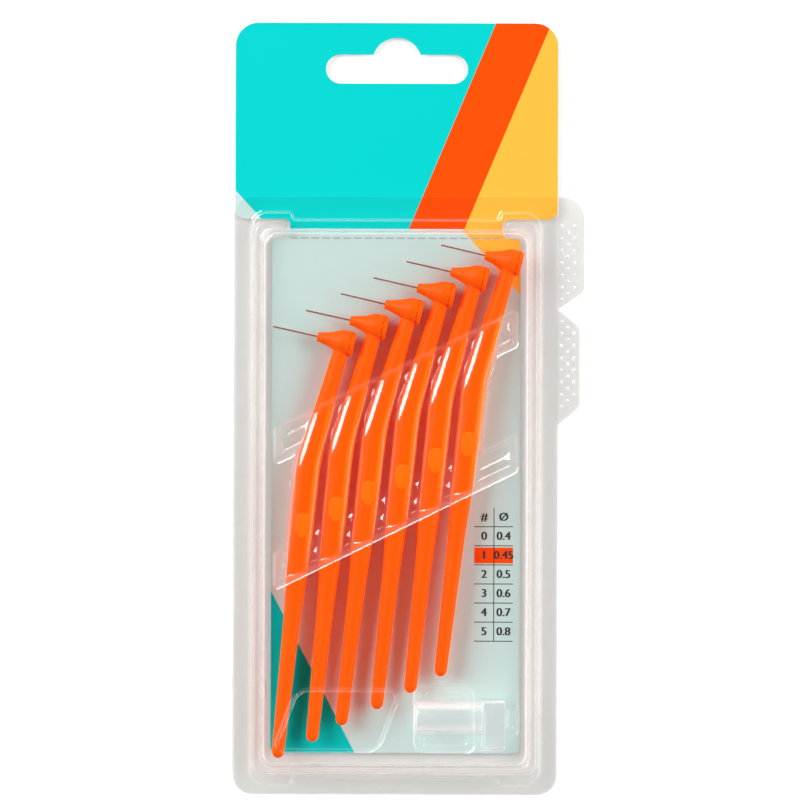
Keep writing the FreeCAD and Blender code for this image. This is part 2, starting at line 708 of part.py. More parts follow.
def build_bristles(index):
    body = new_body(f"bristles_{index + 1}")
    _, nose, back = brush_frames(index)
    start = nose.Base - back * (mm.wire_length - mm.bristle_tip)
    sleeve = eight_sided(2 * mm.bristle_radius, 2 * mm.bristle_radius) + wire_bore()
    place = FreeCAD.Placement(start, across_run(-back))
    pad(body, f"bristles_{index + 1}_sleeve", sleeve, "Sizes.bristle_length", place)
    return body


sub_parts = [build_back_shell(), build_card(), build_front_shell(), build_cap()]
for brush in range(brush_count):
    for build in (build_handle, build_plug, build_wire, build_bristles):
        sub_parts.append(build(brush))
doc.recompute()

for item in doc.Objects:
    failed = [state for state in item.State if state in ("Invalid", "Error")]
    if failed:
        raise RuntimeError(f"{item.Label} did not build: {failed}")
for item in sub_parts:
    shape = item.Shape
    if shape.isNull() or not shape.isValid() or len(shape.Solids) != 1:
        raise RuntimeError(f"{item.Label} is not one sound solid: {len(shape.Solids)} solids")

os.makedirs("parts", exist_ok=True)
for item in sub_parts:
    item.Shape.exportStep(f"parts/{item.Label}.step")
    print(f"{item.Label}: {item.Shape.Volume:.2f} mm3, {len(item.Shape.Faces)} faces")
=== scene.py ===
import math

import bmesh
import bpy
import numpy as np
from mathutils import Matrix, Vector


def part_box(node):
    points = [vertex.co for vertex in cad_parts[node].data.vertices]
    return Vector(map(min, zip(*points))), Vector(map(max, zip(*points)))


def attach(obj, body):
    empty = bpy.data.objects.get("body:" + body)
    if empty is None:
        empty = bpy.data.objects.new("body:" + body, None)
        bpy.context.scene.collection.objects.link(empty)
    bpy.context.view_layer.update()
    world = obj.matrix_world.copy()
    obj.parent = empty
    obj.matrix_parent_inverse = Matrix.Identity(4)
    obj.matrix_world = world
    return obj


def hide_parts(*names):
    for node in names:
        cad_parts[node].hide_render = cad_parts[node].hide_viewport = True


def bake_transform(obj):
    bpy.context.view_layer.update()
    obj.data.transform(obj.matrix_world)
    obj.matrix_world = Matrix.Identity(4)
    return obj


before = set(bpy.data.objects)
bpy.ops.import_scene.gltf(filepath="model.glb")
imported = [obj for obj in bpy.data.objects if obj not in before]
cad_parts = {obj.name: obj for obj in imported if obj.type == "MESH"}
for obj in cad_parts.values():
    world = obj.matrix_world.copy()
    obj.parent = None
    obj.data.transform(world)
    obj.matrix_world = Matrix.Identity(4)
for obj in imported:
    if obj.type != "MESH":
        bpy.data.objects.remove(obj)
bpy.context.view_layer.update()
mm = 0.001  # meshes are laid out in millimetres and scaled once
scene = bpy.context.scene
print("frame loaded:", len(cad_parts), "nodes")


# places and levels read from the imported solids
def nodeBox(node):
    low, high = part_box(node)
    return [c / mm for c in low], [c / mm for c in high]


lidLow, lidHigh = nodeBox("front_shell")
trayLow, trayHigh = nodeBox("back_shell")
cardLow, cardHigh = nodeBox("card")
capLow, capHigh = nodeBox("cap")
brushNumbers = sorted(int(n.split("_")[1]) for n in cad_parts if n.startswith("handle_"))
firstHandle = nodeBox("handle_1")[0]
brushShift = [b - a for a, b in zip(firstHandle, nodeBox("handle_2")[0])]

# the clear pack's rings, from its flange inwards
pack = {"wall": 0.4, "flangeSide": 3.7, "flangeHigh": 5.0, "ledge": 3.2, "insertSide": 1.6,
        "headerHigh": 44.2, "neckNotch": 4.1, "brushGap": 0.2}
flangeX = -lidLow[0]
flangeY = (lidLow[1], lidHigh[1])
flangeTop = lidLow[2] + pack["wall"]
trayTop = trayLow[2] + pack["wall"]
stepX = flangeX - pack["flangeSide"]
stepY = (flangeY[0] + pack["flangeSide"], flangeY[1] - pack["flangeHigh"])
windowX = stepX - pack["ledge"]
windowY = (stepY[0] + pack["ledge"], stepY[1] - pack["ledge"])
insertX = windowX - pack["insertSide"]
neckX = insertX - pack["neckNotch"]
headerLow = cardHigh[1] - pack["headerHigh"]
cardTop = cardHigh[2]
faceZ = lidHigh[2]

# one brush, as seen from the front; the others stand brushShift apart, askew by degrees about the bend
brush = {"bendIn": 8.4, "bendUp": 65.52, "handleLean": 6.1, "neckLean": 16.3, "headLean": 12.9,
         "handleLength": 66.9, "gripLength": 13.2, "neckLength": 28.0, "headRadius": 2.82,
         "neckBehindNose": 6.0, "wireLength": 10.1, "seam": 7.4, "plugThick": 1.15,
         "askew": (0.3, 0.5, -0.25, 0.15, 0.2, -0.4)}
brushZ = cardTop + pack["brushGap"] + brush["headRadius"]
bend = Vector((brush["bendIn"] - insertX, cardLow[1] + brush["bendUp"], brushZ))

# loose cap: clear tube with a square collar, which the lid's pocket follows too
cap = {"radius": 3.7, "bore": 3.2, "round": 1.0, "collarLength": 5.3, "collarHigh": 4.1, "collarCorner": 1.2,
       "collarWall": 0.5, "collarLeast": 0.4, "collarSteps": 6, "tubeSeat": 0.4}
capAxisY = capHigh[1] - cap["collarHigh"]
capAxisZ = (capLow[2] + capHigh[2]) / 2


def heading(lean):
    return Vector((math.sin(math.radians(lean)), math.cos(math.radians(lean)), 0))


up = Vector((0, 0, 1))
headBack = heading(brush["headLean"]).cross(up)
nose = bend + heading(brush["neckLean"]) * brush["neckLength"] - headBack * brush["neckBehindNose"]
turnSides = 56  # facets round a turned piece


# mesh helpers
def ease(t):
    # 0 to 1 with a soft start and end
    return t * t * (3 - 2 * t)


def roundedLoop(corners, steps=8):
    points = []
    for i, (x, y, radius) in enumerate(corners):
        here = Vector((x, y))
        toLast = (Vector(corners[i - 1][:2]) - here).normalized()
        toNext = (Vector(corners[(i + 1) % len(corners)][:2]) - here).normalized()
        half = toLast.angle(toNext) / 2
        middle = here + (toLast + toNext).normalized() * (radius / math.sin(half))
        start = here + toLast * (radius / math.tan(half)) - middle
        turn = math.pi - 2 * half
        if toLast.cross(toNext) > 0:
            turn = -turn
        for step in range(steps + 1):
            a = turn * step / steps
            points.append((middle.x + start.x * math.cos(a) - start.y * math.sin(a),
                           middle.y + start.x * math.sin(a) + start.y * math.cos(a)))
    return points


def boxCorners(x, y, radius):
    return [(x[0], y[0], radius), (x[1], y[0], radius), (x[1], y[1], radius), (x[0], y[1], radius)]


def mirrored(right):
    # the right half of an outline and its left counterpart
    return right + [(-x, y, radius) for x, y, radius in reversed(right)]


def wallProfile(foot, footZ, lip, lipZ):
    # a formed wall's points, the last value of each counted from the foot's or the lip's level
    return [(*p[:-1], footZ + p[-1]) for p in foot] + [(*p[:-1], lipZ + p[-1]) for p in lip]


def addRing(bm, points, z):
    return [bm.verts.new((x, y, z)) for x, y in points]


def bridge(bm, rings):
    for ringA, ringB in zip(rings, rings[1:]):
        for i in range(len(ringA)):
            bm.faces.new((ringA[i - 1], ringA[i], ringB[i], ringB[i - 1]))


def fillBetween(bm, *rings):
    edges = []
    for ring in rings:
        for i in range(len(ring)):
            pair = (ring[i - 1], ring[i])
            edges.append(bm.edges.get(pair) or bm.edges.new(pair))
    bmesh.ops.triangle_fill(bm, use_beauty=True, edges=edges, normal=up)


def loftFaces(ringCount, ringSize, capStart=True, capEnd=True):
    # quads between rings of points that follow each other
    faces = []
    last = (ringCount - 1) * ringSize
    for base in range(0, last, ringSize):
        for s in range(ringSize):
            t = (s + 1) % ringSize
            faces.append((base + s, base + t, base + ringSize + t, base + ringSize + s))
    if capStart:
        faces.append(tuple(reversed(range(ringSize))))
    if capEnd:
        faces.append(tuple(range(last, last + ringSize)))
    return faces


def revolve(profile):
    # profile of (along, radius) turned about the X axis
    verts = []
    for along, radius in profile:
        for s in range(turnSides):
            a = 2 * math.pi * s / turnSides
            verts.append((along, radius * math.cos(a), radius * math.sin(a)))
    return verts, loftFaces(len(profile), turnSides, capStart=False, capEnd=False)


def join(parts):
    verts, faces = [], []
    for partVerts, partFaces in parts:
        base = len(verts)
        verts.extend(partVerts)
        faces.extend(tuple(i + base for i in face) for face in partFaces)
    return verts, faces


def smoothMesh(mesh, sharp):
    mesh.polygons.foreach_set("use_smooth", [True] * len(mesh.polygons))
    mesh.set_sharp_from_angle(angle=math.radians(sharp))
    mesh.update()
    return mesh


def meshOf(name, verts, faces, sharp=40):
    mesh = bpy.data.meshes.new(name)
    mesh.from_pydata([tuple(c * mm for c in v) for v in verts], [], faces)
    bm = bmesh.new()
    bm.from_mesh(mesh)
    bmesh.ops.recalc_face_normals(bm, faces=bm.faces)
    bm.to_mesh(mesh)
    bm.free()
    return smoothMesh(mesh, sharp)


def thicken(mesh, wall, sharp=50):
    # gives a one-sided sheet its wall, downwards from its front
    carrier = bpy.data.objects.new("carrier", mesh)
    scene.collection.objects.link(carrier)
    solid = carrier.modifiers.new("wall", "SOLIDIFY")
    solid.thickness = wall * mm
    solid.offset = -1
    solid.use_even_offset = True
    bpy.context.view_layer.update()
    done = bpy.data.meshes.new_from_object(carrier.evaluated_get(bpy.context.evaluated_depsgraph_get()))
    bpy.data.objects.remove(carrier)
    return smoothMesh(done, sharp)


def sheetMesh(bm, name):
    bmesh.ops.recalc_face_normals(bm, faces=bm.faces)
    upward = sum(face.normal.z * face.calc_area() for face in bm.faces)
    if upward < 0:
        bmesh.ops.reverse_faces(bm, faces=bm.faces)
    bmesh.ops.scale(bm, vec=(mm, mm, mm), verts=bm.verts)
    mesh = bpy.data.meshes.new(name)
    bm.to_mesh(mesh)
    bm.free()
    mesh = thicken(mesh, pack["wall"])
    mesh.name = name
    return mesh


def addPiece(name, mesh, finish, slot, body, *nodes):
    piece = bpy.data.objects.new(name, mesh)
    scene.collection.objects.link(piece)
    if not mesh.materials:
        mesh.materials.append(finishes[finish])
    if body:
        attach(piece, body)
    if nodes:
        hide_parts(*nodes)
    return piece


# shared shader group and node helpers
def newGroup(name, inputs, outputs):
    group = bpy.data.node_groups.new(name, "ShaderNodeTree")
    for label, kind, value in inputs:
        socket = group.interface.new_socket(label, in_out="INPUT", socket_type=kind)
        socket.default_value = value
    for label, kind in outputs:
        group.interface.new_socket(label, in_out="OUTPUT", socket_type=kind)
    return group, group.nodes.new("NodeGroupInput"), group.nodes.new("NodeGroupOutput")


def noiseNode(tree, scale, detail, vector):
    node = tree.nodes.new("ShaderNodeTexNoise")
    node.inputs["Detail"].default_value = detail
    tree.links.new(vector, node.inputs["Vector"])
    tree.links.new(scale, node.inputs["Scale"])
    return node.outputs["Fac"]


def makeMouldGrain():
    # slow tone drift and a fine surface grain, in the object's own metres
    group, given, out = newGroup(
        "mouldGrain",
        [("Drift Scale", "NodeSocketFloat", 60.0), ("Grain Scale", "NodeSocketFloat", 3000.0)],
        [("Drift", "NodeSocketFloat"), ("Grain", "NodeSocketFloat")])
    place = group.nodes.new("ShaderNodeTexCoord").outputs["Object"]
    for label, detail in (("Drift", 2.0), ("Grain", 3.0)):
        noise = noiseNode(group, given.outputs[label + " Scale"], detail, place)
        group.links.new(noise, out.inputs[label])
    return group


mouldGrain = makeMouldGrain()


def newMaterial(name):
    material = bpy.data.materials.new(name)
    material.use_nodes = True
    tree = material.node_tree
    return material, tree, tree.nodes["Principled BSDF"], tree.nodes["Material Output"]


def addGrain(tree, look):
    node = tree.nodes.new("ShaderNodeGroup")
    node.node_tree = mouldGrain
    node.inputs["Drift Scale"].default_value = look["drift"]
    node.inputs["Grain Scale"].default_value = look["grain"]
    return node.outputs["Drift"], node.outputs["Grain"]


def mathNode(tree, operation, *values, clamp=False):
    node = tree.nodes.new("ShaderNodeMath")
    node.operation = operation
    node.use_clamp = clamp
    for socket, value in zip(node.inputs, values):
        if isinstance(value, (int, float)):
            socket.default_value = value
        else:
            tree.links.new(value, socket)
    return node.outputs[0]


def mixColour(tree, factor, a, b):
    node = tree.nodes.new("ShaderNodeMix")
    node.data_type = "RGBA"
    tree.links.new(factor, node.inputs[0])
    for socket, value in ((node.inputs[6], a), (node.inputs[7], b)):
        if isinstance(value, tuple):
            socket.default_value = (*value, 1.0)
        else:
            tree.links.new(value, socket)
    return node.outputs[2]


def addBump(tree, height, shader, look):
    bump = tree.nodes.new("ShaderNodeBump")
    bump.inputs["Strength"].default_value = look["bump"]
    bump.inputs["Distance"].default_value = look["bumpDeep"]
    tree.links.new(height, bump.inputs["Height"])
    tree.links.new(bump.outputs["Normal"], shader.inputs["Normal"])
    return bump.outputs["Normal"]


def roughen(tree, height, shader, look):
    # roughness from its least value upwards
    rough = mathNode(tree, "MULTIPLY_ADD", height, look["roughSpread"], look["rough"])
    tree.links.new(rough, shader.inputs["Roughness"])


def newShader(tree, kind, socket, value):
    node = tree.nodes.new("ShaderNodeBsdf" + kind)
    node.inputs[socket].default_value = value
    return node


def mixShader(tree, factor, first, second):
    node = tree.nodes.new("ShaderNodeMixShader")
    if isinstance(factor, float):
        node.inputs[0].default_value = factor
    else:
        tree.links.new(factor, node.inputs[0])
    tree.links.new(first.outputs[0], node.inputs[1])
    tree.links.new(second.outputs[0], node.inputs[2])
    return node


def passLamps(tree, shader, colour, out):
    # lamps shine through to what lies behind
    through = newShader(tree, "Transparent", "Color", (*colour, 1))
    shadow = tree.nodes.new("ShaderNodeLightPath").outputs["Is Shadow Ray"]
    tree.links.new(mixShader(tree, shadow, shader, through).outputs[0], out.inputs["Surface"])


# clear plastics: what they share, then each one's own values
clearBase = {"haze": 0.0, "edge": 0.4, "edgePower": 2.5, "body": (0.95, 0.95, 0.94), "gloss": 0.08,
             "mirror": 0.075, "grazing": 0.8, "mirrorPower": 5.0, "drift": 35.0, "grain": 900.0,
             "rough": 0.25, "roughSpread": 0.2, "bump": 0.25, "bumpDeep": 0.0004}
clearLooks = {
    "front_clear": {"tint": (0.997, 0.997, 0.995), "edge": 0.09, "body": (0.90, 0.88, 0.86), "gloss": 0.09,
                    "mirror": 0.085, "grazing": 0.5, "shade": 0.99},
    # the rim's and the bead's warm tone is a painted reflection of the orange brushes
    "rim_clear": {"tint": (0.997, 0.997, 0.995), "edge": 0.42, "body": (0.92, 0.86, 0.82), "gloss": 0.06,
                  "shade": 0.99},
    "bead_clear": {"tint": (0.93, 0.912, 0.90), "edge": 0.42, "body": (0.92, 0.86, 0.82), "gloss": 0.06,
                   "shade": 0.84},
    # the tab's darker tint is painted shade: it stands in for the shadow on the floor under the tab
    "tab_clear": {"tint": (0.87, 0.868, 0.855), "haze": 0.02, "edgePower": 1.5, "gloss": 0.05, "shade": 0.93},
    "back_clear": {"tint": (0.955, 0.951, 0.942), "haze": 0.02, "mirror": 0.06, "shade": 0.68},
    # the dots' milky white body is painted highlight for the glints they catch
    "dot_clear": {"tint": (0.99, 0.99, 0.98), "haze": 0.5, "edge": 0.2, "edgePower": 2.0,
                  "body": (0.98, 0.98, 0.97), "shade": 0.97},
    "cap_clear": {"tint": (0.965, 0.967, 0.967), "haze": 0.12, "edge": 0.7, "edgePower": 1.5,
                  "body": (0.95, 0.95, 0.95), "gloss": 0.12, "shade": 0.95},
}


def makeClear(name):
    # tinted see-through, a little milky body that grows towards the edges, and gloss
    look = {**clearBase, **clearLooks[name]}
    material, tree, body, out = newMaterial(name)
    body.inputs["Base Color"].default_value = (*look["body"], 1)
    drift, _ = addGrain(tree, look)
    roughen(tree, drift, body, look)
    wave = addBump(tree, drift, body, look)
    clear = newShader(tree, "Transparent", "Color", (*look["tint"], 1))
    gloss = newShader(tree, "Glossy", "Roughness", look["gloss"])
    tree.links.new(wave, gloss.inputs["Normal"])
    facing = tree.nodes.new("ShaderNodeLayerWeight").outputs["Facing"]
    edge = mathNode(tree, "MULTIPLY", mathNode(tree, "POWER", facing, look["edgePower"]), look["edge"])
    veil = mixShader(tree, mathNode(tree, "ADD", edge, look["haze"], clamp=True), clear, body)
    # both faces' mirror share, given by the outer face alone so that light passes straight through the wall
    mirror = mathNode(tree, "MULTIPLY", mathNode(tree, "POWER", facing, look["mirrorPower"]), look["grazing"])
    mirror = mathNode(tree, "ADD", mirror, look["mirror"], clamp=True)
    inside = tree.nodes.new("ShaderNodeNewGeometry").outputs["Backfacing"]
    outside = mathNode(tree, "SUBTRACT", 1.0, inside)
    shine = mixShader(tree, mathNode(tree, "MULTIPLY", mirror, outside), veil, gloss)
    passLamps(tree, shine, (look["shade"],) * 3, out)
    return material


# brush plastics: what they share, then each one's own values
brushBase = {"drift": 90.0, "grain": 2600.0, "roughSpread": 0.12, "bump": 0.06, "bumpDeep": 0.00003,
             "specular": 0.1, "glowShare": 0.2, "glow": (1.0, 0.08, 0.0), "through": (0.72, 0.18, 0.06)}
brushLooks = {
    # the third colour of each is the lighter orange painted on the grip's right bevel as light from the right
    "brush_orange": {"colour": (1.0, 0.160, 0.0), "deep": (1.0, 0.130, 0.0), "bevelLight": (1.0, 0.250, 0.0),
                     "rough": 0.32},
    # the thumb pad gets a lighter copy of the handle's orange: painted light on the pad's flat face
    "thumb_orange": {"colour": (1.0, 0.235, 0.002), "deep": (1.0, 0.205, 0.001), "bevelLight": (1.0, 0.24, 0.002),
                     "rough": 0.42},
    "seam_shadow": {"colour": (0.62, 0.040, 0.0), "deep": (0.50, 0.030, 0.0), "bevelLight": (0.62, 0.04, 0.0),
                    "rough": 0.6},
}


def makeBrushPlastic(name):
    # moulded plastic that lets a little red light through
    look = {**brushBase, **brushLooks[name]}
    material, tree, shader, out = newMaterial(name)
    drift, grain = addGrain(tree, look)
    colour = mixColour(tree, drift, look["deep"], look["colour"])
    # painted light: the grip's right bevel is made a lighter orange, standing in for light from the right
    bevelLight = tree.nodes.new("ShaderNodeAttribute")
    bevelLight.attribute_name = "paintedBevelLight"
    tree.links.new(mixColour(tree, bevelLight.outputs["Fac"], colour, look["bevelLight"]), shader.inputs["Base Color"])
    roughen(tree, grain, shader, look)
    addBump(tree, grain, shader, look)
    shader.inputs["Specular IOR Level"].default_value = look["specular"]
    inner = newShader(tree, "Translucent", "Color", (*look["glow"], 1))
    passLamps(tree, mixShader(tree, look["glowShare"], shader, inner), look["through"], out)
    return material


# wire, filaments and ink: two tones that drift, and plain socket values
plainLooks = {
    "steel_wire": {"deep": (0.26, 0.040, 0.020), "pale": (0.46, 0.110, 0.060), "drift": 900.0,
                   "grain": 6000.0, "sockets": {"Metallic": 0.35, "Roughness": 0.38}},
    "filaments": {"deep": (0.80, 0.80, 0.79), "pale": (0.93, 0.93, 0.92), "drift": 700.0,
                  "grain": 5000.0, "sockets": {"Roughness": 0.35, "Alpha": 0.45}},
    "table_ink": {"deep": (0.010, 0.011, 0.013), "pale": (0.025, 0.026, 0.030), "drift": 400.0,
                  "grain": 4000.0, "sockets": {"Roughness": 0.5}},
}


def makePlain(name):
    look = plainLooks[name]
    material, tree, shader, _ = newMaterial(name)
    drift, _ = addGrain(tree, look)
    tree.links.new(mixColour(tree, drift, look["deep"], look["pale"]), shader.inputs["Base Color"])
    for socket, value in look["sockets"].items():
        shader.inputs[socket].default_value = value
    return material


# printed card: flat slanted fields, a ruled table and a row of tear slits, all in millimetres
cardPrint = {
    "mint": (0.56, 0.75, 0.72), "pale": (0.62, 0.74, 0.72), "teal": (0.0, 0.620, 0.590),
    "insertTeal": (0.0, 0.60, 0.57), "orange": (1.0, 0.075, 0.0), "amber": (1.0, 0.50, 0.055),
    "line": (0.012, 0.014, 0.016), "slit": (0.38, 0.42, 0.41), "back": (0.80, 0.80, 0.78),
    "soft": 0.12, "stripeSlope": 0.42, "printOver": 2.2, "orangeFrom": 13.0, "amberFrom": 25.5,
    "cornerSlope": 0.9, "mintCorner": -30.5, "amberDown": 17.0, "tealSlope": 0.52, "tealDown": 21.5,
    "tearDown": 4.3, "slitLength": 1.75, "slitPitch": 2.4, "slitHeight": 0.3,
    "tableX": (17.75, 26.5), "ruleX": 22.2, "tableTop": -2.7, "headRow": 4.25, "tableStep": -4.3,
    "tableRows": 7, "ruleWidth": 0.19, "filledRow": 1, "fillInset": (0.35, 0.4),
    "drift": 25.0, "grain": 2500.0, "rough": 0.45, "roughSpread": 0.15, "specular": 0.06,
    "bump": 0.05, "bumpDeep": 0.00005,
}


def ruleY(row):
    # height of the rule under a row of the table, the headings being row 0
    return cardPrint["tableTop"] - cardPrint["headRow"] + cardPrint["tableStep"] * row


def makeCardPrint():
    look = cardPrint
    material, tree, shader, _ = newMaterial("printed_card")
    place = tree.nodes.new("ShaderNodeSeparateXYZ")
    tree.links.new(tree.nodes.new("ShaderNodeTexCoord").outputs["Object"], place.inputs[0])
    x, y, z = (mathNode(tree, "DIVIDE", place.outputs[i], mm) for i in range(3))

    def above(value, limit):
        # 0 below the limit, 1 above it, with a printed edge's softness
        away = mathNode(tree, "SUBTRACT", value, limit)
        return mathNode(tree, "MULTIPLY_ADD", away, 1 / look["soft"], 0.5, clamp=True)

    def slanted(slope):
        return mathNode(tree, "ADD", x, mathNode(tree, "MULTIPLY", y, slope))

    def both(*masks):
        result = masks[0]
        for mask in masks[1:]:
            result = mathNode(tree, "MULTIPLY", result, mask)
        return result

    def between(value, low, high):
        return both(above(value, low), mathNode(tree, "SUBTRACT", 1.0, above(value, high)))

    def strip(value, middle, width):
        return between(value, middle - width / 2, middle + width / 2)

    drift, grain = addGrain(tree, look)
    colour = mixColour(tree, drift, look["pale"], look["mint"])
    header = above(y, headerLow - look["printOver"])
    leant = slanted(look["cornerSlope"])
    teal = above(leant, look["mintCorner"] + look["cornerSlope"] * headerLow)
    colour = mixColour(tree, both(header, teal), colour, look["teal"])
    across = slanted(-look["stripeSlope"])
    shift = -look["stripeSlope"] * (cardHigh[1] + headerLow) / 2
    for ink in ("orange", "amber"):
        stripe = both(header, above(across, look[ink + "From"] + shift))
        colour = mixColour(tree, stripe, colour, look[ink])
    # the insert's two printed corners
    insert = mathNode(tree, "SUBTRACT", 1.0, header)
    lowerLeft = mathNode(tree, "MULTIPLY", slanted(look["tealSlope"]), -1.0)
    corner = both(insert, above(lowerLeft, insertX + look["tealSlope"] * look["tealDown"]))
    colour = mixColour(tree, corner, colour, look["insertTeal"])
    wedge = both(insert, above(leant, insertX + look["cornerSlope"] * (headerLow - look["amberDown"])))
    colour = mixColour(tree, wedge, colour, look["amber"])
    # ruled table with one filled row
    inTable = between(x, *look["tableX"])
    fillLow = ruleY(look["filledRow"] + 1) + look["fillInset"][0]
    fillHigh = ruleY(look["filledRow"]) - look["fillInset"][1]
    colour = mixColour(tree, both(inTable, between(y, fillLow, fillHigh)), colour, look["orange"])
    rules = both(strip(x, look["ruleX"], look["ruleWidth"]),
                 between(y, ruleY(look["tableRows"] - 1), look["tableTop"]))
    for row in range(look["tableRows"]):
        rule = both(inTable, strip(y, ruleY(row), look["ruleWidth"]))
        rules = mathNode(tree, "MAXIMUM", rules, rule)
    colour = mixColour(tree, rules, colour, look["line"])
    # tear slits between the insert and the neck
    beat = mathNode(tree, "FRACT", mathNode(tree, "DIVIDE", x, look["slitPitch"]))
    slits = both(strip(y, headerLow - look["tearDown"], look["slitHeight"]),
                 mathNode(tree, "LESS_THAN", beat, look["slitLength"] / look["slitPitch"]),
                 between(x, -neckX, neckX))
    colour = mixColour(tree, slits, colour, look["slit"])
    # plain board on the back
    front = above(z, (cardLow[2] + cardHigh[2]) / 2)
    colour = mixColour(tree, front, look["back"], colour)
    tree.links.new(colour, shader.inputs["Base Color"])
    roughen(tree, grain, shader, look)
    shader.inputs["Specular IOR Level"].default_value = look["specular"]
    addBump(tree, grain, shader, look)
    return material


finishes = {name: makeClear(name) for name in clearLooks}
finishes.update((name, makeBrushPlastic(name)) for name in brushLooks)
finishes.update((name, makePlain(name)) for name in plainLooks)
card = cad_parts["card"]
card.data.materials.clear()
card.data.materials.append(makeCardPrint())
print("materials made")


# front sheet: flange, ledge, window and the formed bands that hold the brushes
lid = {
    "flangeCorner": 4.3, "tabCorner": 4.8, "tabLength": 25.2, "tabSlant": 4.0, "tabRound": 2.0,
    "tabCrease": 0.3, "flat": 0.01,
    # raised rim: corners, lugs and lobes, then its wall as (inset, height over the foot or under the lip)
    "stepTop": 4.2, "stepCorner": 3.6, "lugOver": 0.7, "lugHigh": 1.7, "lugRound": 0.98, "lugFillet": 0.7,
    "lobeFrom": 23.0, "lobeLow": 1.7,
    "rimFoot": ((-0.65, 0.0), (-0.48, 0.0), (-0.2, 0.08), (-0.02, 0.35)),
    "rimLip": ((0.08, -0.9), (0.16, -0.4), (0.36, -0.12), (0.7, 0.0), (0.9, 0.0)),
    # window wall as (outwards, corner, height)
    "windowFoot": ((1.45, 3.0, 0.0), (1.25, 3.0, 0.0), (0.9, 3.0, 0.1), (0.7, 3.0, 0.4)),
    "windowLip": ((0.12, 3.0, -1.1), (0.02, 2.9, -0.6), (-0.16, 2.7, -0.25), (-0.45, 2.3, -0.05),
                  (-0.85, 1.6, 0.0), (-1.05, 1.0, 0.0)),
    "windowRim": 1.0,
    # where the flange climbs over the header
    "riseDrop": 1.1, "rise": 0.4, "riseRun": 0.5, "riseFoot": 0.2, "riseUnder": 0.5, "riseShare": 0.6,
    # bands, their rungs and the lane between them
    "bandSlope": 26.2, "bandUpper": 7.45, "bandLower": -20.55, "bandMouth": 9.4, "bandEnd": 1.5,
    "bandCorner": 1.8, "bandLift": 0.3, "bandTouch": 1e-3,
    "lipRadius": 1.6, "footRadius": 0.9, "wallAngle": 83, "wallSteps": 14,
    "rungHigh": 0.5, "rungDip": 0.55, "rungRamp": 0.7, "rungSlope": 1.6,
    "lowerRungs": (0.8, 4.2), "upperRungs": (-1.8, 1.9), "laneFoot": 2.7, "laneMouth": 3.05, "laneSoft": 0.3,
    # arches over the brushes, each pair at the bend and further up the neck
    "archUp": (0, 13), "archHeight": (3.1, 2.75), "crown": (0.75, 0.55), "shoulder": (2.55, 2.1),
    "shoulderFall": 0.37, "sideFall": 5.5, "shoulderSoft": 0.4, "sideSoft": 0.1, "archBend": 4.5,
    # pocket of the cap, with a pad on each side, and the stop at its end
    "pocketOver": 0.9, "pocketReach": 8.6, "pocketCorner": 3.2, "pocketFloor": 6.0, "pocketSoft": 0.3,
    "padAway": 5.5, "padLong": 4.6, "padWide": 0.95, "padCorner": 0.94, "padHigh": 1.3, "padEdge": 0.6,
    "padRim": 0.9, "clear": 0.35,
    "stopWide": 2.1, "stopLong": 6.0, "stopFloor": 4.2, "stopCorner": 1.0, "stopEdge": (-0.1, 0.6),
    # grooved panel at the lower left
    "panelX": (-24.6, -1.4), "panelUp": (1.0, 14.6), "panelSlant": 0.38, "panelCorner": 2.6, "panelDeep": 0.5,
    "panelLine": 0.42, "panelFlat": 0.05,
}
tabSplit = flangeY[1] - lid["tabLength"]
bandRise = math.tan(math.radians(lid["bandSlope"]))
bendLine = bend.y - bend.x * bandRise
pocketX = (capLow[0] - lid["pocketOver"], capHigh[0] - cap["collarLength"] - lid["clear"] - pack["wall"])
pocketY = (capAxisY - lid["pocketReach"], capAxisY + lid["pocketReach"])
stopX = capHigh[0] + lid["clear"] + pack["wall"]


def softRamp(value, soft):
    return soft * np.logaddexp(0, value / soft)


def softStep(value, low, high, soft=0.12):
    # straight ramp from 0 to 1 with rounded ends
    t = (value - low) / (high - low)
    return softRamp(t, soft) - softRamp(t - 1, soft)


def softMax(a, b, soft=0.25):
    return 0.5 * (a + b + np.sqrt((a - b) ** 2 + soft ** 2))


def boxDistance(x, y, low, high, radius):
    cx, cy = (low[0] + high[0]) / 2, (low[1] + high[1]) / 2
    dx = np.abs(x - cx) - (high[0] - low[0]) / 2 + radius
    dy = np.abs(y - cy) - (high[1] - low[1]) / 2 + radius
    return np.hypot(np.maximum(dx, 0), np.maximum(dy, 0)) + np.minimum(np.maximum(dx, dy), 0) - radius


def wallShape(inward, depth):
    # how far a formed wall has gone down, 0 to 1: round lip, steep wall, small foot
    angle = math.radians(lid["wallAngle"])
    lip, foot = lid["lipRadius"], lid["footRadius"]
    turns = np.linspace(0, angle, lid["wallSteps"])
    alongs, drops = list(lip * np.sin(turns)), list(lip * (1 - np.cos(turns)))
    straight = depth - (lip + foot) * (1 - math.cos(angle))
    runX = alongs[-1] + straight / math.tan(angle)
    runZ = drops[-1] + straight
    for turn in turns[::-1]:
        alongs.append(runX + foot * (math.sin(angle) - math.sin(turn)))
        drops.append(runZ + foot * (math.cos(turn) - math.cos(angle)))
    return np.interp(inward, alongs, drops) / depth


def brushSides(x, y, across):
    # distance of each place from each brush's middle line, round its bend
    turn = ease(np.clip((across + lid["archBend"]) / (2 * lid["archBend"]), 0, 1))
    alongHandle, alongNeck = heading(brush["handleLean"]), heading(brush["neckLean"])
    sides = []
    for number in brushNumbers:
        dx = x - bend.x - (number - 1) * brushShift[0]
        dy = y - bend.y - (number - 1) * brushShift[1]
        low = dx * alongHandle.y - dy * alongHandle.x
        high = dx * alongNeck.y - dy * alongNeck.x
        sides.append(low + (high - low) * turn)
    return sides


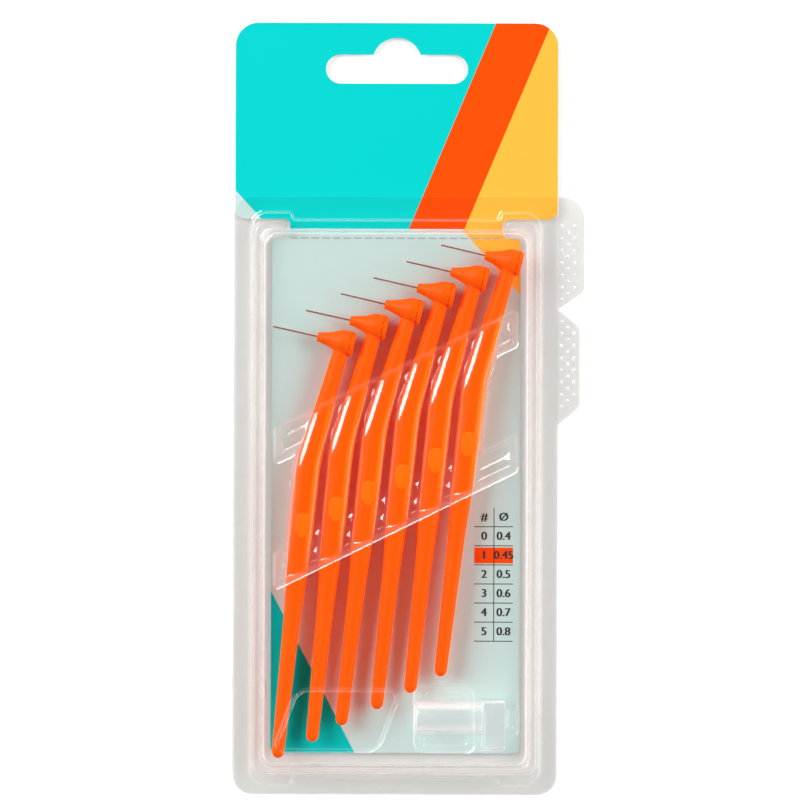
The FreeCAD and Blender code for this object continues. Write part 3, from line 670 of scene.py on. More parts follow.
def formedBands(x, y):
    # two slanted troughs and the lane of brushes between them, with an arch over each brush
    square = math.cos(math.radians(lid["bandSlope"]))
    across = (y - bendLine - bandRise * x) * square
    upper, lower = across - lid["bandUpper"] * square, across - lid["bandLower"] * square
    # sawtooth rungs in the lower trough, gentle ones in the upper, both rising towards the lane
    high, dip, ramp, slope = (lid["rung" + k] for k in ("High", "Dip", "Ramp", "Slope"))
    rungs = sum((high + dip) * softStep(lower, at, at + ramp) - dip * softStep(lower, at - slope, at)
                for at in lid["lowerRungs"])
    steps = sum(high * softStep(-upper, at, at + slope) for at in lid["upperRungs"])
    floorZ = brushZ + lid["bandLift"] + np.minimum(rungs, steps)
    half = lid["bandMouth"] / 2
    end = windowX - lid["bandEnd"]
    depth = faceZ - brushZ - lid["bandLift"]
    sunk = np.zeros_like(x)
    for away in (upper, lower):
        inward = -boxDistance(x, away, (-end, -half), (end, half), lid["bandCorner"])
        sunk = np.maximum(sunk, wallShape(inward, depth))
    sides = brushSides(x, y, across)
    beyond = np.maximum(-sides[0], sides[-1])
    lane = 1 - softStep(beyond, lid["laneFoot"], lid["laneMouth"])
    for away in (lower, -upper):
        lane = lane * softStep(away, -lid["laneSoft"], lid["laneSoft"])
    sunk = np.maximum(sunk, lane)
    trough = faceZ - (faceZ - floorZ) * sunk
    nearest = np.min(np.abs(sides), axis=0)
    archHeight, crown, shoulder = (np.interp(across, lid["archUp"], lid[k])
                                   for k in ("archHeight", "crown", "shoulder"))
    arch = brushZ + archHeight - lid["shoulderFall"] * softRamp(nearest - crown, lid["shoulderSoft"])
    arch = arch - lid["sideFall"] * softRamp(nearest - shoulder, lid["sideSoft"])
    return np.where(sunk > lid["bandTouch"], softMax(trough, arch), trough)


def panelEdge(x, y):
    # distance from the outline of the slanted panel at the lower left
    low, high = (cardLow[1] + rise for rise in lid["panelUp"])
    leant = x - lid["panelSlant"] * (y - (low + high) / 2)
    return boxDistance(leant, y, (lid["panelX"][0], low), (lid["panelX"][1], high), lid["panelCorner"])


def faceHeight(x, y):
    # height of the window's front skin over the pack
    z = formedBands(x, y)
    pocket = boxDistance(x, y, (pocketX[0], pocketY[0]), (pocketX[1], pocketY[1]), lid["pocketCorner"])
    depth = faceZ - lid["pocketFloor"]
    hollow = faceZ - depth * wallShape(-pocket, depth)
    radius = cap["radius"] + lid["clear"] + pack["wall"]
    arch = capAxisZ + np.sqrt(np.clip(radius ** 2 - (y - capAxisY) ** 2, 0, None))
    padX, long, wide = sum(pocketX) / 2, lid["padLong"], lid["padWide"]
    for padY in (capAxisY - lid["padAway"], capAxisY + lid["padAway"]):
        oval = boxDistance(x, y, (padX - long, padY - wide), (padX + long, padY + wide), lid["padCorner"])
        pad = softStep(-oval, 0.0, lid["padEdge"]) * softStep(-pocket, 0.0, lid["padRim"])
        hollow = hollow + lid["padHigh"] * pad
    z = np.where(pocket < lid["pocketSoft"], np.minimum(z, softMax(hollow, arch)), z)
    stop = boxDistance(x, y, (stopX, capAxisY - lid["stopLong"] / 2),
                       (stopX + lid["stopWide"], capAxisY + lid["stopLong"] / 2), lid["stopCorner"])
    z = np.minimum(z, faceZ - (faceZ - lid["stopFloor"]) * softStep(-stop, *lid["stopEdge"]))
    groove = np.exp(-(panelEdge(x, y) / lid["panelLine"]) ** 2)
    return z - lid["panelDeep"] * groove * (z > faceZ - lid["panelFlat"])


# spacing of the window's mesh lines: even, and finer where the sheet folds
grid = {"margin": 1.4, "column": 0.5, "row": 1.5, "closest": 0.08,
        "endOut": 0.3, "endIn": 0.9, "endStep": 0.15,  # the bands' ends
        "gutter": 2.3, "gutterStep": 0.22, "lastOut": 4.2, "lastStep": 0.2,  # beside the brushes
        "bandHalf": 5.0, "bandStep": 0.22, "laneFrom": 5.2, "laneStep": 0.9,  # along the bands and the lane
        "pocketOver": 0.8, "pocketStep": 0.3,
        "leanOver": 6, "leanFade": 24, "leanSide": 3.9}  # how far the lines lean with the brushes


def gridLines(low, high, pitch, fine):
    lines = list(np.arange(low, high + pitch / 2, pitch))
    for start, end, step in fine:
        lines = [v for v in lines if v < start - step / 2 or v > end + step / 2]
        lines.extend(np.arange(start, end + step / 2, step))
    lines = sorted(v for v in lines if low - 1e-6 <= v <= high + 1e-6)
    kept = [low]
    for v in lines:
        if v - kept[-1] > grid["closest"]:
            kept.append(v)
    if high - kept[-1] < grid["closest"]:
        kept.pop()
    return np.array(kept + [high])


def doubled(values):
    # a row and a column midway between each two
    rows, columns = values.shape
    wide = np.empty((2 * rows - 1, 2 * columns - 1))
    wide[::2, ::2] = values
    wide[1::2, ::2] = (values[1:] + values[:-1]) / 2
    wide[:, 1::2] = (wide[:, 2::2] + wide[:, :-2:2]) / 2
    return wide


def windowPlaces():
    # rows lean with the bands and columns with the brushes, and both straighten towards the rim
    gridX, gridY = windowX - grid["margin"], (windowY[0] + grid["margin"], windowY[1] - grid["margin"])
    end = windowX - lid["bandEnd"]
    fine = [(-end - grid["endOut"], -end + grid["endIn"], grid["endStep"]),
            (end - grid["endIn"], end + grid["endOut"], grid["endStep"])]
    lanes = [bend.x + (number - 1) * brushShift[0] for number in brushNumbers]
    for lane in [lanes[0] - brushShift[0]] + lanes:
        fine.append((lane + grid["gutter"], lane + brushShift[0] - grid["gutter"], grid["gutterStep"]))
    fine.append((lanes[-1] + grid["gutter"], lanes[-1] + grid["lastOut"], grid["lastStep"]))
    us = gridLines(-gridX, gridX, grid["column"], fine)
    lean = math.cos(math.radians(lid["bandSlope"]))
    lowBand, highBand = bendLine + lid["bandLower"], bendLine + lid["bandUpper"]
    half, inner = grid["bandHalf"] / lean, grid["laneFrom"] / lean
    fine = [(middle - half, middle + half, grid["bandStep"] / lean) for middle in (lowBand, highBand)]
    fine.append((lowBand + inner, highBand - inner, grid["laneStep"]))
    fine.append((gridY[0], pocketY[1] + grid["pocketOver"], grid["pocketStep"]))
    vs = gridLines(gridY[0], gridY[1], grid["row"], fine)
    low, high = lowBand - grid["leanOver"], highBand + grid["leanOver"]
    fade = ease(np.interp(vs, [low - grid["leanFade"], low, high, gridY[1]], [0, 1, 1, 0]))
    drift = np.zeros_like(vs)
    for side, angle in ((1, brush["neckLean"]), (-1, brush["handleLean"])):
        run = math.tan(math.radians(angle)) / (1 - bandRise * math.tan(math.radians(angle)))
        drift += run * side * np.maximum(side * (vs - bendLine), 0)
    leaning = [-gridX, lanes[0] - grid["leanSide"], lanes[-1] + grid["leanSide"], gridX]
    reach = np.interp(us, leaning, [0, 1, 1, 0])
    x = us[None, :] + (fade * drift)[:, None] * reach[None, :]
    y = vs[:, None] + fade[:, None] * bandRise * x
    return doubled(x), doubled(y)


def windowGrid(bm):
    x, y = windowPlaces()
    z = faceHeight(x, y)
    rows, columns = z.shape
    cells = [(r, c) for r in range(0, rows - 2, 2) for c in range(0, columns - 2, 2)]
    # the cells along the panel's groove are split in four
    near = np.abs(panelEdge(x, y)) < 3 * lid["panelLine"]
    split = {(r, c) for r, c in cells if near[r:r + 3, c:c + 3].any()}
    kept = np.zeros(z.shape, bool)
    kept[::2, ::2] = True
    for r, c in split:
        kept[r:r + 3, c:c + 3] = True
    verts = {(r, c): bm.verts.new((x[r, c], y[r, c], z[r, c])) for r, c in zip(*np.nonzero(kept))}
    around = [(0, 0), (0, 1), (0, 2), (1, 2), (2, 2), (2, 1), (2, 0), (1, 0)]
    for r, c in cells:
        if (r, c) in split:
            for a, b in ((r, c), (r, c + 1), (r + 1, c), (r + 1, c + 1)):
                bm.faces.new((verts[a, b], verts[a, b + 1], verts[a + 1, b + 1], verts[a + 1, b]))
        else:
            bm.faces.new([verts[r + a, c + b] for a, b in around if (r + a, c + b) in verts])
    border = [(0, c) for c in range(columns - 1)] + [(r, columns - 1) for r in range(rows - 1)]
    border += [(rows - 1, c) for c in range(columns - 1, 0, -1)] + [(r, 0) for r in range(rows - 1, 0, -1)]
    return [verts[key] for key in border if key in verts]


def stepCorners(inset):
    # outline of the raised rim, with a lug at each upper corner and a lobe at each lower one
    side, low, high = stepX - inset, stepY[0] + inset, stepY[1] - inset
    lobeLow, lugHigh = low - lid["lobeLow"], high + lid["lugHigh"]
    corner = lid["stepCorner"] - inset
    convex, concave = lid["lugRound"] - inset, lid["lugFillet"] + inset
    lugEnd, lobeEnd = neckX - lid["lugOver"] + inset, lid["lobeFrom"] + inset
    return mirrored([(lobeEnd, low, concave), (lobeEnd, lobeLow, convex), (side, lobeLow, corner),
                     (side, lugHigh, corner), (lugEnd, lugHigh, convex), (lugEnd, high, concave)])


def cutFlange(bm, place, normal):
    # a new line across the flat flange
    flat = [f for f in bm.faces if all(v.co.z < flangeTop + lid["flat"] for v in f.verts)]
    cut = set(flat) | {e for f in flat for e in f.edges} | {v for f in flat for v in f.verts}
    bmesh.ops.bisect_plane(bm, geom=list(cut), plane_co=place, plane_no=normal)


def makeLid():
    bm = bmesh.new()
    corner = lid["flangeCorner"]
    tab, tabLow = lidHigh[0], tabSplit + lid["tabSlant"]
    outline = [(-flangeX, flangeY[0], corner), (flangeX, flangeY[0], corner),
               (flangeX, tabSplit, lid["tabCrease"]), (tab, tabLow, lid["tabRound"]),
               (tab, flangeY[1], lid["tabCorner"]), (-flangeX, flangeY[1], corner)]
    outer = addRing(bm, roundedLoop(outline), flangeTop)
    profile = wallProfile(lid["rimFoot"], flangeTop, lid["rimLip"], lid["stepTop"])
    steps = [addRing(bm, roundedLoop(stepCorners(inset)), z) for inset, z in profile]
    fillBetween(bm, outer, steps[0])
    bridge(bm, steps)
    walls = []
    for grow, radius, z in wallProfile(lid["windowFoot"], lid["stepTop"], lid["windowLip"], faceZ):
        loop = boxCorners((-windowX - grow, windowX + grow), (windowY[0] - grow, windowY[1] + grow), radius)
        walls.append(addRing(bm, roundedLoop(loop), z))
    fillBetween(bm, steps[-1], walls[0])
    bridge(bm, walls)
    fillBetween(bm, walls[-1], windowGrid(bm))
    # the flange rises over the card's header
    riseY, half = headerLow - lid["riseDrop"], lid["riseRun"] / 2
    for y in (riseY - half, riseY, riseY + half):
        cutFlange(bm, (0, y, 0), (0, 1, 0))
    cutFlange(bm, (flangeX, 0, 0), (1, 0, 0))  # parts the grip tab
    for v in bm.verts:
        over = v.co.z - flangeTop
        if over < lid["riseUnder"]:
            t = min(max((v.co.y - riseY + half) / lid["riseRun"], 0), 1)
            v.co.z += lid["rise"] * ease(t) * (1 if over < lid["riseFoot"] else lid["riseShare"])
    return sheetMesh(bm, "frontSheet")


frontMesh = makeLid()
for finish in ("front_clear", "rim_clear", "tab_clear"):
    frontMesh.materials.append(finishes[finish])
for face in frontMesh.polygons:
    # the walls round the window get a milkier sheet with a warm tone, a painted reflection of the orange
    # brushes, and the grip tab a darker tint, painted shade for the floor below it
    x, y = face.center.x / mm, face.center.y / mm
    rim = lid["windowRim"]
    inWindow = abs(x) < windowX - rim and windowY[0] + rim < y < windowY[1] - rim
    face.material_index = 2 if x > flangeX else 0 if inWindow else 1
addPiece("front_sheet", frontMesh, "front_clear", "clear_sheet", "lid", "front_shell")
print("front sheet formed:", len(frontMesh.polygons), "faces")


# back sheet: flat back, grip tab and the hollow closing bead round the card
tray = {"tabLength": 26.0, "tabGap": 0.05, "tabFillet": 1.6, "beadWidth": 2.2, "beadClear": 0.35,
        "lugDepth": 3.4, "lugClear": 0.4, "beadSteps": 6,
        "beadFoot": ((-0.3, 0.0), (-0.1, 0.06), (0.0, 0.3)),
        "beadLip": ((0.06, -0.75), (0.14, -0.36), (0.34, -0.1), (0.62, 0.0))}
trayTabLow = tabSplit - tray["tabLength"]


def beadCorners(inset):
    outerX = stepX - pack["wall"] - tray["beadClear"] - inset
    innerX = outerX - tray["beadWidth"] + 2 * inset
    outerLow = stepY[0] + pack["wall"] + tray["beadClear"] + inset
    innerLow = outerLow + tray["beadWidth"] - 2 * inset
    lugHigh = headerLow - tray["lugClear"] - inset
    lugLow = lugHigh - tray["lugDepth"] + 2 * inset
    lugEnd = neckX + tray["lugClear"] + inset
    outerCorner = lid["stepCorner"] - pack["wall"] - tray["beadClear"] - inset
    innerCorner = outerCorner - tray["beadWidth"] / 2
    endCorner = tray["lugDepth"] / 4
    return mirrored([(outerX, outerLow, outerCorner), (outerX, lugHigh, outerCorner),
                     (lugEnd, lugHigh, endCorner), (lugEnd, lugLow, endCorner),
                     (innerX, lugLow, innerCorner), (innerX, innerLow, innerCorner)])


def makeTray():
    bm = bmesh.new()
    tab, high = trayHigh[0], tabSplit - tray["tabGap"]
    slant, corner = lid["tabSlant"], lid["flangeCorner"]
    outline = [(-flangeX, flangeY[0], corner), (flangeX, flangeY[0], corner),
               (flangeX, trayTabLow, tray["tabFillet"]), (tab, trayTabLow + slant, lid["tabRound"]),
               (tab, high - slant, lid["tabRound"]), (flangeX, high, lid["tabCrease"]),
               (flangeX, flangeY[1], corner), (-flangeX, flangeY[1], corner)]
    outer = addRing(bm, roundedLoop(outline), trayTop)
    profile = wallProfile(tray["beadFoot"], trayTop, tray["beadLip"], trayHigh[2])
    rings = [addRing(bm, roundedLoop(beadCorners(inset), tray["beadSteps"]), z) for inset, z in profile]
    fillBetween(bm, outer, rings[0])
    bridge(bm, rings)
    fillBetween(bm, rings[-1])
    return sheetMesh(bm, "backSheet")


backMesh = makeTray()
for finish in ("back_clear", "bead_clear"):
    backMesh.materials.append(finishes[finish])
for face in backMesh.polygons:
    # the drawn-out bead lets more light through than the flat sheet; its warm tint is a painted reflection of
    # the orange brushes
    face.material_index = 1 if face.center.z / mm > trayTop + pack["wall"] / 2 else 0
addPiece("back_sheet", backMesh, "back_clear", "clear_sheet", "tray", "back_shell")
print("back sheet formed")


# moulded grip dots on both tabs, the small bumps on the flange and the boss on the window's left wall
dots = {"pitch": 1.38, "radius": 0.34, "height": 0.26, "fromEdge": 1.3, "inner": 0.8, "slant": 0.7,
        "lidEnds": (2.2, 6.4), "trayEnds": 2.6, "rings": 3, "sides": 10,
        "bumpIn": 1.95, "bumpY": (2.5, -4.4), "bumpSize": (0.55, 0.55, 0.3),
        "bossOut": 0.2, "bossY": -43.6, "bossSize": (0.9, 2.9, 3.6), "bossSides": 24}


def dome(x, y, z, radiusX, radiusY, height, sides):
    verts = []
    rings = dots["rings"]
    for ring in range(rings):
        reach, rise = math.cos(math.pi / 2 * ring / rings), math.sin(math.pi / 2 * ring / rings)
        for s in range(sides):
            a = 2 * math.pi * s / sides
            spot = (x + radiusX * reach * math.cos(a), y + radiusY * reach * math.sin(a), z + height * rise)
            verts.append(spot)
    faces = loftFaces(rings, sides, capStart=True, capEnd=False)
    verts.append((x, y, z + height))
    last, tip = (rings - 1) * sides, rings * sides
    faces += [(last + s, last + (s + 1) % sides, tip) for s in range(sides)]
    return verts, faces


def dotField(tab, yLow, yHigh, z):
    # staggered rows, cut off along the tab's slant
    parts = []
    pitch, radius = dots["pitch"], dots["radius"]
    xLow, xHigh = flangeX + dots["inner"], tab - dots["fromEdge"]
    for row in range(int((yHigh - yLow) / pitch) + 1):
        y = yHigh - row * pitch
        x = xLow + (row % 2) * pitch
        while x <= xHigh:
            if y - yLow >= (x - xLow) * dots["slant"]:
                parts.append(dome(x, y, z, radius, radius, dots["height"], dots["sides"]))
            x += 2 * pitch
    return join(parts)


bumpX, bossX = flangeX - dots["bumpIn"], -windowX - dots["bossOut"]
bumps = [dome(bumpX, y, flangeTop, *dots["bumpSize"], dots["sides"]) for y in dots["bumpY"]]
bumps.append(dome(bossX, dots["bossY"], lid["stepTop"], *dots["bossSize"], dots["bossSides"]))
addPiece("lid_bumps", meshOf("lidBumps", *join(bumps)), "rim_clear", "clear_sheet", "lid")
# the grip dots are milky white, painted highlight for their glints
lidDots = dotField(lidHigh[0], tabSplit + dots["lidEnds"][0], flangeY[1] - dots["lidEnds"][1], flangeTop)
addPiece("lid_grip_dots", meshOf("lidGripDots", *lidDots), "dot_clear", "clear_sheet", "lid")
trayDots = dotField(trayHigh[0], trayTabLow + dots["trayEnds"], tabSplit - dots["trayEnds"], trayTop)
addPiece("tray_grip_dots", meshOf("trayGripDots", *trayDots), "dot_clear", "clear_sheet", "tray")


# folded hinge along the left edge
hinge = {"bulge": 0.4, "wall": 0.16, "lowInset": 5.0, "highInset": 6.5, "tuck": 0.1, "steps": 10, "rows": 24,
         "bendIn": 0.15}


def makeHinge():
    low, high = trayLow[2] + hinge["tuck"], flangeTop - hinge["tuck"]
    middle, half = (low + high) / 2, (high - low) / 2
    arc = [math.pi * (k / hinge["steps"] - 0.5) for k in range(hinge["steps"] + 1)]
    loop = []
    for wall, turns in ((0.0, arc), (hinge["wall"], arc[::-1])):
        bulge, high = hinge["bulge"] - wall, half - wall
        loop += [(-flangeX - bulge * math.cos(a), middle + high * math.sin(a)) for a in turns]
    verts = []
    for y in np.linspace(flangeY[0] + hinge["lowInset"], flangeY[1] - hinge["highInset"], hinge["rows"]):
        verts += [(x, y, z) for x, z in loop]
    return meshOf("hingeFold", verts, loftFaces(hinge["rows"], len(loop)))


hingePiece = addPiece("hinge_fold", makeHinge(), "front_clear", "clear_sheet", None)
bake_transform(hingePiece)
print("grip dots and hinge fold made")


# brush handle with its head: eight-sided grip, slim neck, round tapered tail; places count from the bend
handle = {"gripWidth": 5.3, "gripDeep": 4.5, "gripTop": 0.5, "endWidth": 3.4, "endDeep": 2.9,
          "neckTaper": 14.8, "neckSlim": 3.95, "neckTip": 3.4, "neckFlare": 1.5, "flareLong": 3.4,
          "flarePower": 2.5, "bevel": 1.25, "bevelGain": 1.25, "bendHalf": 5,
          "softCorner": (-2.5, -1.2, 0, 1.2, 2.5),
          "endRound": 1.5, "endLeast": 0.08, "endRings": (0.0, 0.08, 0.25, 0.5, 0.85, 1.2),
          "tailTo": -20, "gripSpan": (-18.5, 16), "neckFrom": 17, "neckUnder": 4.2, "flareUnder": 3.8,
          "ringCounts": (20, 34, 9, 10), "subSteps": 8, "points": 48,
          "crispAt": (-34, -20, -8, 14, 24), "crisp": (3.6, 8, 18, 18, 9), "tailCrisp": 3.2,
          "bevelLightAt": (-26, -17, 12, 18), "bevelLightSide": (0.42, 0.58),
          # the head as (along from the nose, radius)
          "head": ((0.0, 0.25), (0.0, 0.78), (0.06, 0.93), (0.2, 1.02), (0.9, 1.14), (1.94, 1.42),
                   (2.9, 1.72), (3.84, 2.06), (4.5, 2.36), (5.05, 2.62), (5.45, 2.77), (5.9, 2.82),
                   (6.6, 2.83), (7.34, 2.83), (7.37, 2.80), (7.37, 0.0))}


def gripSection(halfWidth, halfDeep, bevel, crisp):
    # rounded eight-sided loop: the crisper, the flatter its facets
    slant = (halfWidth + halfDeep - bevel) * math.sqrt(0.5)
    reach = [halfWidth, slant, halfDeep, slant] * 2
    loop = []
    for k in range(handle["points"]):
        a = 2 * math.pi * (k + 0.5) / handle["points"]
        total = 0.0
        for n, h in enumerate(reach):
            facing = math.cos(a - n * math.pi / 4)
            if facing > 0:
                total += (facing / h) ** crisp
        r = total ** (-1 / crisp)
        loop.append((r * math.cos(a), r * math.sin(a)))
    return loop


def placeHead(verts, behind=0.0):
    # from the wire's own axis, with the nose at zero, into the pack
    side = up.cross(headBack)
    origin = nose + headBack * behind
    return [tuple(origin + headBack * v[0] + side * v[1] + up * v[2]) for v in verts]


def handleRuns(tail, top):
    # where the handle's rings stand, closer at the round end, the bend and the flare
    h = handle
    spans = [(tail + h["endRound"], h["tailTo"]), h["gripSpan"], (h["neckFrom"], top - h["neckUnder"]),
             (top - h["flareUnder"], top)]
    runs = {tail + d for d in h["endRings"]}
    for span, count in zip(spans, h["ringCounts"]):
        runs.update(np.linspace(*span, count))
    return sorted(runs)


def makeHandle():
    h = handle
    tail, top = -brush["handleLength"], brush["neckLength"]
    runs = handleRuns(tail, top)
    slimDeep = h["neckSlim"] / h["gripWidth"] * h["gripDeep"]
    stations = [tail, -brush["gripLength"], h["gripTop"], h["neckTaper"], top - brush["headRadius"], top]
    widths = [h["endWidth"], h["gripWidth"], h["gripWidth"], h["neckSlim"], h["neckTip"], h["neckTip"]]
    deeps = [h["endDeep"], h["gripDeep"], h["gripDeep"], slimDeep, h["neckTip"], h["neckTip"]]
    point, last = bend + heading(brush["handleLean"]) * tail, tail
    verts, bevelLight = [], []
    for run in runs:
        for part in np.linspace(last, run, h["subSteps"] + 1)[1:]:
            turn = ease(min(max((part + h["bendHalf"]) / (2 * h["bendHalf"]), 0), 1))
            lean = brush["handleLean"] + (brush["neckLean"] - brush["handleLean"]) * turn
            point = point + heading(lean) * (run - last) / h["subSteps"]
        last = run
        # soft corners between the straight tapers
        spots = [run + d for d in h["softCorner"]]
        width, deep = (sum(np.interp(spots, stations, sizes)) / len(spots) for sizes in (widths, deeps))
        flare = max(0.0, (run - top + h["flareLong"]) / h["flareLong"])
        width += h["neckFlare"] * flare ** h["flarePower"]
        gap = (run - tail) / h["endRound"]
        if gap < 1:
            shrink = max(math.sqrt(max(1 - (1 - gap) ** 2, 0)), h["endLeast"])
            width, deep = width * shrink, deep * shrink
        crisp = np.interp(run, (tail, *h["crispAt"]), (h["tailCrisp"], *h["crisp"]))
        bevel = h["bevel"] * min(1.0, width / h["gripWidth"] * h["bevelGain"])
        side = heading(lean).cross(up)
        # painted light: how much of the lighter orange lies along the grip and across its right bevel
        grip = np.interp(run, h["bevelLightAt"], (0, 1, 1, 0))
        for a, b in gripSection(width / 2, deep / 2, bevel, crisp):
            verts.append(tuple(point + side * a + up * b))
            bevelLight.append(grip * np.interp(a * 2 / width, h["bevelLightSide"], (0, 1)))
    shaft = (verts, loftFaces(len(runs), h["points"]))
    headVerts, headFaces = revolve(h["head"])
    mesh = meshOf("brushHandle", *join([shaft, (placeHead(headVerts), headFaces)]), sharp=34)
    bevelLight += [0.0] * len(headVerts)
    mesh.attributes.new("paintedBevelLight", "FLOAT", "POINT").data.foreach_set("value", bevelLight)
    return mesh


# plug that closes the head: rounded disc with a row of short slots round its seam
plug = {"over": 0.01, "slotRing": 2, "slotPitch": 7, "slotLong": 5}


def makePlug():
    r = brush["headRadius"] + plug["over"]
    t = brush["plugThick"]
    profile = [(-0.03, 1.2), (-0.03, r - 0.04), (0.0, r - 0.01), (0.2, r), (0.3, r), (t - 0.5, r - 0.02),
               (t - 0.28, r - 0.12), (t - 0.1, r - 0.34), (t - 0.02, r - 0.65), (t, r - 1.1), (t, 0.0)]
    verts, faces = revolve(profile)
    mesh = meshOf("headPlug", placeHead(verts, brush["seam"]), faces)
    for finish in ("brush_orange", "seam_shadow"):
        mesh.materials.append(finishes[finish])
    for i, polygon in enumerate(mesh.polygons):
        ring, spot = divmod(i, turnSides)
        if ring == plug["slotRing"] and spot % plug["slotPitch"] < plug["slotLong"]:
            polygon.material_index = 1
    return mesh


# thumb pad on the grip: round top, blunt point, tapered as (share of half the width, mm below its middle)
thumb = {"x": -20.85, "y": -6.8, "wide": 3.6, "long": 5.7, "roundShare": 0.75, "steps": 24,
         "taper": ((0.98, 0.2), (0.9, 1.254), (0.35, 2.622)),
         "sunk": 0.12, "lift": 0.02, "shoulder": 0.096, "rise": 0.12, "shrink": (1.0, 1.0, 0.95, 0.86)}


def makeThumbPad():
    half, long = thumb["wide"] / 2, thumb["long"]
    high = half * thumb["roundShare"]
    arc = [math.pi * k / thumb["steps"] for k in range(thumb["steps"] + 1)]
    outline = [(half * math.cos(a), long / 2 - high + high * math.sin(a)) for a in arc]
    outline += [(-half * share, -down) for share, down in thumb["taper"]]
    outline.append((0.0, -long / 2))
    outline += [(half * share, -down) for share, down in reversed(thumb["taper"])]
    lean = -math.radians(brush["handleLean"])
    base = brushZ + handle["gripDeep"] / 2
    levels = (-thumb["sunk"], thumb["lift"], thumb["shoulder"], thumb["rise"])
    verts = []
    for scale, level in zip(thumb["shrink"], levels):
        for x, y in outline:
            verts.append((thumb["x"] + scale * (x * math.cos(lean) - y * math.sin(lean)),
                          thumb["y"] + scale * (x * math.sin(lean) + y * math.cos(lean)), base + level))
    return meshOf("thumbPad", verts, loftFaces(len(levels), len(outline)))


# twisted wire and its filaments, along the wire's own axis with the nose at zero
wire = {"radius": 0.115, "apart": 0.95, "twist": 1.25, "root": 2.2, "sides": 8, "perTurn": 14}
filament = {"reach": 1.1, "radius": 0.022, "start": 0.5, "length": 8.8, "count": 150, "tip": 0.72,
            "tipRun": 2.2, "spread": 2.39996, "inner": 0.1, "tipThin": 0.6, "lean": 0.08, "sides": 3}


def aroundAxis(along, angle, out, beside):
    # a place at a distance out from the wire's axis, and beside that ray
    return (along, out * math.cos(angle) - beside * math.sin(angle),
            out * math.sin(angle) + beside * math.cos(angle))


def makeWire():
    parts = []
    length = brush["wireLength"] + wire["root"]
    steps = int(length / wire["twist"] * wire["perTurn"])
    for phase in (0.0, math.pi):
        verts = []
        for k in range(steps + 1):
            along = -brush["wireLength"] + length * k / steps
            a = phase + 2 * math.pi * along / wire["twist"]
            for s in range(wire["sides"]):
                b = 2 * math.pi * s / wire["sides"]
                out = wire["radius"] * (wire["apart"] + math.cos(b))
                verts.append(aroundAxis(along, a, out, wire["radius"] * math.sin(b)))
        parts.append((placeHead(verts), loftFaces(steps + 1, wire["sides"])))
    return meshOf("twistedWire", *join(parts))


def makeFilaments():
    parts = []
    first = -brush["wireLength"] + filament["start"]
    tip, sides = filament["tip"], filament["sides"]
    for k in range(filament["count"]):
        share = k / (filament["count"] - 1)
        along = first + filament["length"] * share
        reach = filament["reach"] * (tip + (1 - tip) * min(1.0, share * filament["tipRun"]))
        verts = []
        for out, thick in ((filament["inner"], 1.0), (reach, filament["tipThin"])):
            w = filament["radius"] * thick
            for s in range(sides):
                b = 2 * math.pi * s / sides
                spot = along + w * math.cos(b) + filament["lean"] * out
                verts.append(aroundAxis(spot, k * filament["spread"], out, w * math.sin(b)))
        parts.append((placeHead(verts), loftFaces(2, sides)))
    return meshOf("filamentTuft", *join(parts))


brushMeshes = [
    ("brush_handle", makeHandle(), "brush_orange", "brush_orange", "handle"),
    ("brush_plug", makePlug(), "brush_orange", "brush_orange", "head_plug"),
    ("brush_thumb_pad", makeThumbPad(), "thumb_orange", "brush_orange", None),
    ("brush_wire", makeWire(), "steel_wire", "steel_wire", "wire"),
    ("brush_filaments", makeFilaments(), "filaments", "filaments", "bristles"),
]
for number in brushNumbers:
    shift = Vector(brushShift) * (number - 1) * mm
    askew = brush["askew"][(number - 1) % len(brush["askew"])]
    turn = Matrix.Rotation(math.radians(askew), 4, "Z")
    place = Matrix.Translation(shift + bend * mm) @ turn @ Matrix.Translation(-bend * mm)
    for name, mesh, finish, slot, node in brushMeshes:
        replaced = [f"{node}_{number}"] if node else []
        piece = addPiece(f"{name}_{number}", mesh, finish, slot, None, *replaced)
        piece.matrix_world = place
        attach(piece, "tray")
print("brushes made:", len(brushNumbers))


def makeCap():
    left, right, collarLeft = capLow[0], capHigh[0], capHigh[0] - cap["collarLength"]
    r, bore, wall = cap["radius"], cap["bore"], cap["collarWall"]
    tubeEnd = collarLeft + cap["tubeSeat"]
    profile = [(left, 0.0), (left, r - cap["round"]), (left + 0.12, r - 0.55), (left + 0.35, r - 0.2),
               (left + 0.8, r - 0.03), (left + 1.2, r), (tubeEnd, r), (tubeEnd, bore), (left + 1.2, bore),
               (left + 0.7, bore - 0.3), (left + 0.55, 0.0)]
    verts, faces = revolve(profile)
    tube = ([(x, y + capAxisY, z + capAxisZ) for x, y, z in verts], faces)
    # the collar's outside from its closed end, round its mouth and back inside
    collar = []
    stations = [(collarLeft, 0.35), (collarLeft + 0.25, 0.05), (collarLeft + 0.6, 0.0), (right - 0.35, 0.0),
                (right - 0.1, 0.06), (right, 0.2), (right, wall - 0.1), (right - 0.2, wall),
                (collarLeft + 0.8, wall)]
    for x, inset in stations:
        corner = max(cap["collarCorner"] - inset, cap["collarLeast"])
        wide, high = ((capLow[axis] + inset, capHigh[axis] - inset) for axis in (1, 2))
        points = roundedLoop(boxCorners(wide, high, corner), cap["collarSteps"])
        collar += [(x, y, z) for y, z in points]
    return meshOf("travelCap", *join([tube, (collar, loftFaces(len(stations), len(points)))]), sharp=38)


addPiece("travel_cap", makeCap(), "cap_clear", "cap_clear", "tray", "cap")
print("cap made")


# plain figures of the ruled table, struck twice to make them bold
figures = {"size": 2.6, "bold": 0.095, "lift": 0.012, "columns": (20.0, 24.4),
           "rows": (("#", "\u00d8"), ("0", "0.4"), ("1", "0.45"), ("2", "0.5"), ("3", "0.6"), ("4", "0.7"),
                    ("5", "0.8"))}


